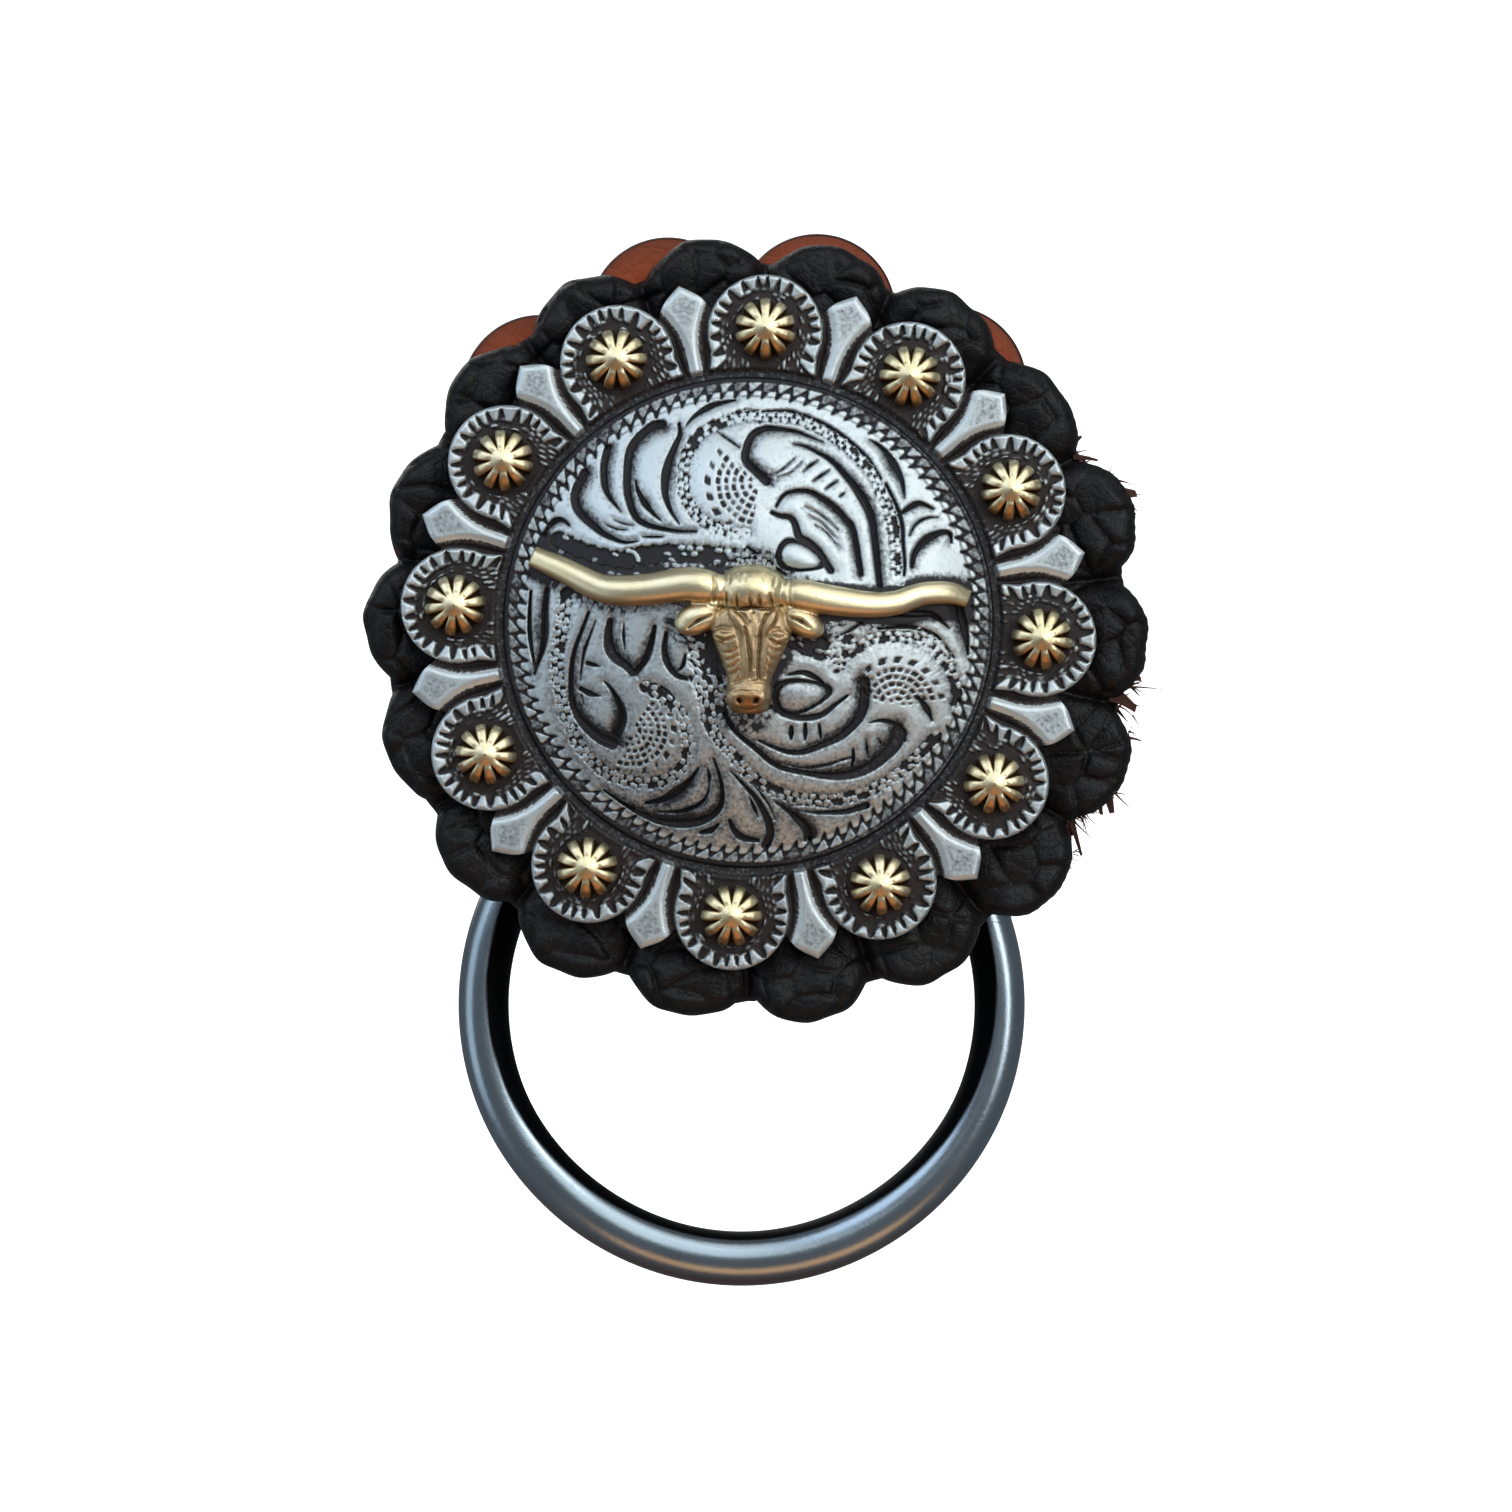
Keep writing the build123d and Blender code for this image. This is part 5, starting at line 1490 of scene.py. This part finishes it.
# %% [markdown]
# ## Frayed fibres
# Along the right side the flesh of the black leather has frayed. Small tufts of brown fibre stand off its
# edge, with broader torn flaps between them. Each strand is a thin three-sided thread that tapers and
# bends. The tufts and flaps are placed one by one, as in the photo, and a seeded draw scatters the strands
# of a tuft.

# %% Tufts and flaps
fibre_leather = leather(
    "raw_leather_fibre", light="56342A", dark="281815", rough=0.75, pebble=0.4,
    edge="281815", flesh="56342A",
)
tufts = [
    # bearing, reach, strands, length, width, spread in degrees
    (21, 21.6, 7, 0.75, 0.42, 0.9),
    (21, 21.35, 12, 0.8, 0.10, 1.6),
    (14, 21.3, 8, 0.35, 0.12, 2.5),
    (29, 20.4, 7, 0.5, 0.25, 1.2),
    (38, 21.1, 8, 0.3, 0.10, 3.0),
    (-8, 20.9, 6, 0.9, 0.40, 0.8),
    (-11, 20.5, 6, 0.8, 0.36, 0.8),
    (-16, 21.5, 9, 0.5, 0.12, 2.5),
    (-24, 21.2, 8, 0.9, 0.34, 1.0),
    (-29, 20.6, 9, 1.1, 0.26, 1.3),
    (-32, 20.4, 7, 0.9, 0.22, 1.2),
    (-37, 21.6, 12, 0.4, 0.12, 2.5),
    (-45, 21.0, 8, 0.3, 0.10, 3.0),
]
flaps = [
    # bearing, reach, length, width, direction in degrees
    (20.6, 21.30, 0.85, 1.00, 15),
    (19.4, 21.25, 0.75, 0.70, -35),
    (-7.4, 20.85, 0.95, 0.65, 5),
    (-10.4, 20.10, 1.15, 1.00, -18),
    (-16.3, 21.40, 0.80, 0.22, 0),
    (-24.0, 21.30, 1.05, 0.75, -78),
    (-25.2, 21.20, 0.90, 0.50, -100),
    (-29.6, 20.30, 0.85, 0.40, -85),
    (-30.5, 20.30, 1.30, 0.40, -98),
    (-31.4, 20.60, 1.35, 0.36, -72),
    (30.0, 20.30, 0.65, 0.45, 60),
    (28.6, 20.20, 0.80, 0.36, 5),
]

# %% Grow the strands
strand_rings, strand_sides = 6, 3
tuft_root, flap_root = 0.25, 0.3  # how deep in the leather they start


def strand(start, way, length, width, bend, taper=0.85):
    """Rings of three points along a bent, tapering thread."""
    rings = []
    for share in np.linspace(0, 1, strand_rings):
        centre = start + way * length * share + bend * (length * share) ** 2
        half = width / 2 * (1 - taper * share)
        turns = np.array([0.5, 2.6, 4.7])
        across = np.stack([np.sin(turns) * way[2], np.cos(turns), -np.sin(turns) * way[0]], -1)
        rings.append(centre + half * across)
    return np.array(rings)


def edge_place(angle, reach, depth):
    """A place in the black rosette's edge, at a depth from 0 to 1 of its thickness."""
    x, z = black_x + reach * math.cos(angle), black_z + reach * math.sin(angle)
    return np.array([x, black_front + black_thick * depth, z])


draw = np.random.default_rng(5)
threads = []
for bearing_degrees, tuft_reach, count, length, width, spread in tufts:
    for _ in range(count):
        angle = math.radians(bearing_degrees + draw.normal(0, spread))
        lean = angle + draw.normal(0, 0.5)
        start = edge_place(angle, tuft_reach - tuft_root, draw.uniform(0.25, 0.8))
        way = np.array([math.cos(lean), draw.normal(0, 0.25), math.sin(lean)])
        bend = np.array([draw.normal(0, 0.4), draw.normal(0, 0.3), draw.normal(-0.25, 0.4)])
        strand_length = tuft_root + length * draw.uniform(0.35, 1.1)
        threads.append(strand(start, way, strand_length, width * draw.uniform(0.5, 1.1), bend))
for bearing_degrees, flap_reach, length, width, direction in flaps:
    angle, lean = math.radians(bearing_degrees), math.radians(direction)
    start = edge_place(angle, flap_reach - flap_root, 0.45)
    way = np.array([math.cos(lean), 0.1, math.sin(lean)])
    bend = np.array([draw.normal(0, 0.15), 0.1, draw.normal(-0.15, 0.1)])
    threads.append(strand(start, way, length + flap_root, 1.25 * width, bend, taper=0.6))

# %% One mesh of all strands
strand_points = strand_rings * strand_sides
strand_faces = grid_faces(strand_rings, strand_sides, closed=True).tolist()
strand_faces += [[0, 1, 2], [strand_points - 3, strand_points - 2, strand_points - 1]]
fibre_points, fibre_faces = [], []
for rings in threads:
    first = strand_points * len(fibre_points)
    fibre_faces += [[index + first for index in face] for face in strand_faces]
    fibre_points.append(rings.reshape(-1, 3))
fibres = bpy.data.meshes.new("frayed_fibres")
fibres.from_pydata((np.concatenate(fibre_points) * MM).tolist(), [], fibre_faces)
fibres.materials.append(fibre_leather)
fibre_piece = bpy.data.objects.new("frayed_fibres", fibres)
bpy.context.scene.collection.objects.link(fibre_piece)
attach(fibre_piece, "concho")
print("frayed_fibres", len(fibre_points), "strands")

# %% [markdown]
# ## Russet rosette
# The rosette at the back is firm vegetable-tanned leather with twelve scallops. Its face is smooth and
# red-brown, its cut edge is burnished nearly black, and its flesh side, behind, is paler and rough. Its
# leather is stiff, so it only waves a little towards the rim.

# %% Russet leather and its rosette
russet_leather = leather(
    "russet_leather", light="C65A2A", dark="94401E", rough=0.5, pebble=0.9,
    edge="2A120B", flesh="D9A37A",
)
tan_low, tan_high = corners_in_mm("tan_rosette")
tan_front, tan_back = tan_low[1], tan_high[1]
tan_x, tan_z = 0.0, 1.75
tan_scallops, tan_radius, tan_scallop_radius, tan_turned = 12, 20.4, 4.4, 13.7
tan_spokes, tan_edge_round = 720, 0.25
spoke = turn_steps(tan_spokes)
reach, _, _ = scallop_outline(spoke, tan_scallops, tan_radius, tan_scallop_radius, tan_turned)
x, z, side = rosette_rows(
    spoke, (tan_x, tan_z), reach, tan_edge_round,
    front_shares=np.linspace(0, 1, 16),
    turns=np.radians(np.linspace(12, 168, 9)),
    back_shares=(1.0, 0.85, 0.6, 0.3, 0.0),
)
out = np.hypot(x - tan_x, z - tan_z)
wave = 0.05 * np.sin(spoke * 7) * step(12, 20, out)
y = tan_front + (tan_back - tan_front) * side + wave
burnished = step(0.4, 0.12, reach - out) * np.where(side < 0.99, 1, 0.2)
points = np.stack([x, y, z], axis=-1).reshape(-1, 3)
tan = make_piece(
    "russet_scalloped_rosette", points, grid_faces(*x.shape, closed=True, looped=True), russet_leather,
    numbers={"edge": burnished, "flesh": step(0.9, 1, side)}, solid=True,
)
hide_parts("tan_rosette")

# %% [markdown]
# ## Hanging ring
# The ring is welded steel wire with a dark nickel finish. The inside of the hoop is painted nearly black
# as shade, widest at the top where the plate hangs over it, and its low outer side gets a painted warm
# reflection. Its size comes from the solid ring.

# %% Steel of the ring
# Its near-black is painted shade inside the hoop, and its brown is a painted warm reflection low on the
# outside
ring_steel = antique_metal(
    "ring_steel", bright="A9B8C2", warm="95A2AB", tarnish_and_shade="7A5A44", dark="0E0F11", deep="120E0C",
    smooth=0.26, grain=0.12,
)

# %% Ring
ring_low, ring_high = corners_in_mm("ring")
ring_middle = (ring_low + ring_high) / 2
wire_radius = (ring_high[1] - ring_low[1]) / 2
hoop_radius = (ring_high[0] - ring_low[0]) / 2 - wire_radius
hoop_steps, wire_steps = (np.linspace(0, 2 * math.pi, count, endpoint=False) for count in (288, 44))
around, about = np.meshgrid(hoop_steps, wire_steps, indexing="ij")
# The foot of the ring, where it was welded and dressed, is a little thicker inwards
foot_thicker, foot_inwards = 0.08, 0.22
foot = step(-0.3, -1.0, np.sin(around))
wire = wire_radius * (1 + foot_thicker * foot)
out = hoop_radius - foot_inwards * foot + wire * np.cos(about)
points = np.stack(
    [
        ring_middle[0] + out * np.cos(around),
        ring_middle[1] + wire * np.sin(about),
        ring_middle[2] + out * np.sin(around),
    ],
    axis=-1,
)
# Painted shade inside the hoop, wider towards the top, and a painted warm reflection on its low outer side
shade_band_start = np.interp(np.sin(around), (-0.95, -0.6, -0.1, 0.4), (-0.7, -0.52, -0.2, 0.08))
painted_inner_shade = step(shade_band_start + 0.12, shade_band_start - 0.12, np.cos(about)) * 0.95
painted_warm_reflection = step(-0.35, -0.9, np.sin(around) * np.cos(about)) * 0.9
ring = make_piece(
    "polished_ring", points.reshape(-1, 3), grid_faces(*out.shape, closed=True, looped=True), ring_steel,
    body="ring", numbers={"patina_and_shade": painted_inner_shade, "tarnish_and_shade": painted_warm_reflection}, solid=True,
)
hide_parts("ring")

# %% [markdown]
# ## Strap and screw
# Behind the rosettes a strip of bridle leather is folded round the ring, and a slotted screw holds the
# stack. Their solid shapes are right as they are, so they only take a finish.

# %% Strap leather and screw steel on the solid pieces
strap_leather = leather(
    "strap_leather", light="6A4028", dark="472A1B", rough=0.5, pebble=0.7, edge="2A1810", flesh="8A5C3E"
)


def turned_steel():
    """Zinc-plated steel with the rings that a lathe leaves, about a tenth of a millimetre apart."""
    material, tree = new_tree("turned_screw_steel")
    place = add(tree, "ShaderNodeTexCoord").outputs["Object"]
    rings = add(
        tree,
        "ShaderNodeTexWave",
        {"Vector": place, "Scale": 0.1 / (0.12 * MM), "Distortion": 0.6, "Detail": 2.0},
        wave_type="RINGS",
        rings_direction="Y",
    )
    dull = add(tree, "ShaderNodeTexNoise", {"Vector": place, "Scale": 1 / (0.8 * MM), "Detail": 4.0})
    colour = add(
        tree, "ShaderNodeMix",
        {0: dull.outputs[0], 6: linear("9DA3A6"), 7: linear("C2C4C2")}, data_type="RGBA",
    )
    rough = add(tree, "ShaderNodeMapRange", {0: dull.outputs[0], 3: 0.26, 4: 0.48})
    bump = add(tree, "ShaderNodeBump", {"Height": rings.outputs[1], "Strength": 0.25, "Distance": 0.02 * MM})
    finish = {"Metallic": 1.0, "Roughness": rough.outputs[0], "Normal": bump.outputs[0]}
    surface = add(tree, "ShaderNodeBsdfPrincipled", {"Base Color": colour.outputs[2], **finish})
    add(tree, "ShaderNodeOutputMaterial", {0: surface.outputs[0]})
    return material


for node, material in (("ring_strap", strap_leather), ("back_screw", turned_steel())):
    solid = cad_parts[node]
    solid.data.materials.clear()
    solid.data.materials.append(material)
    print(node, "takes", material.name)
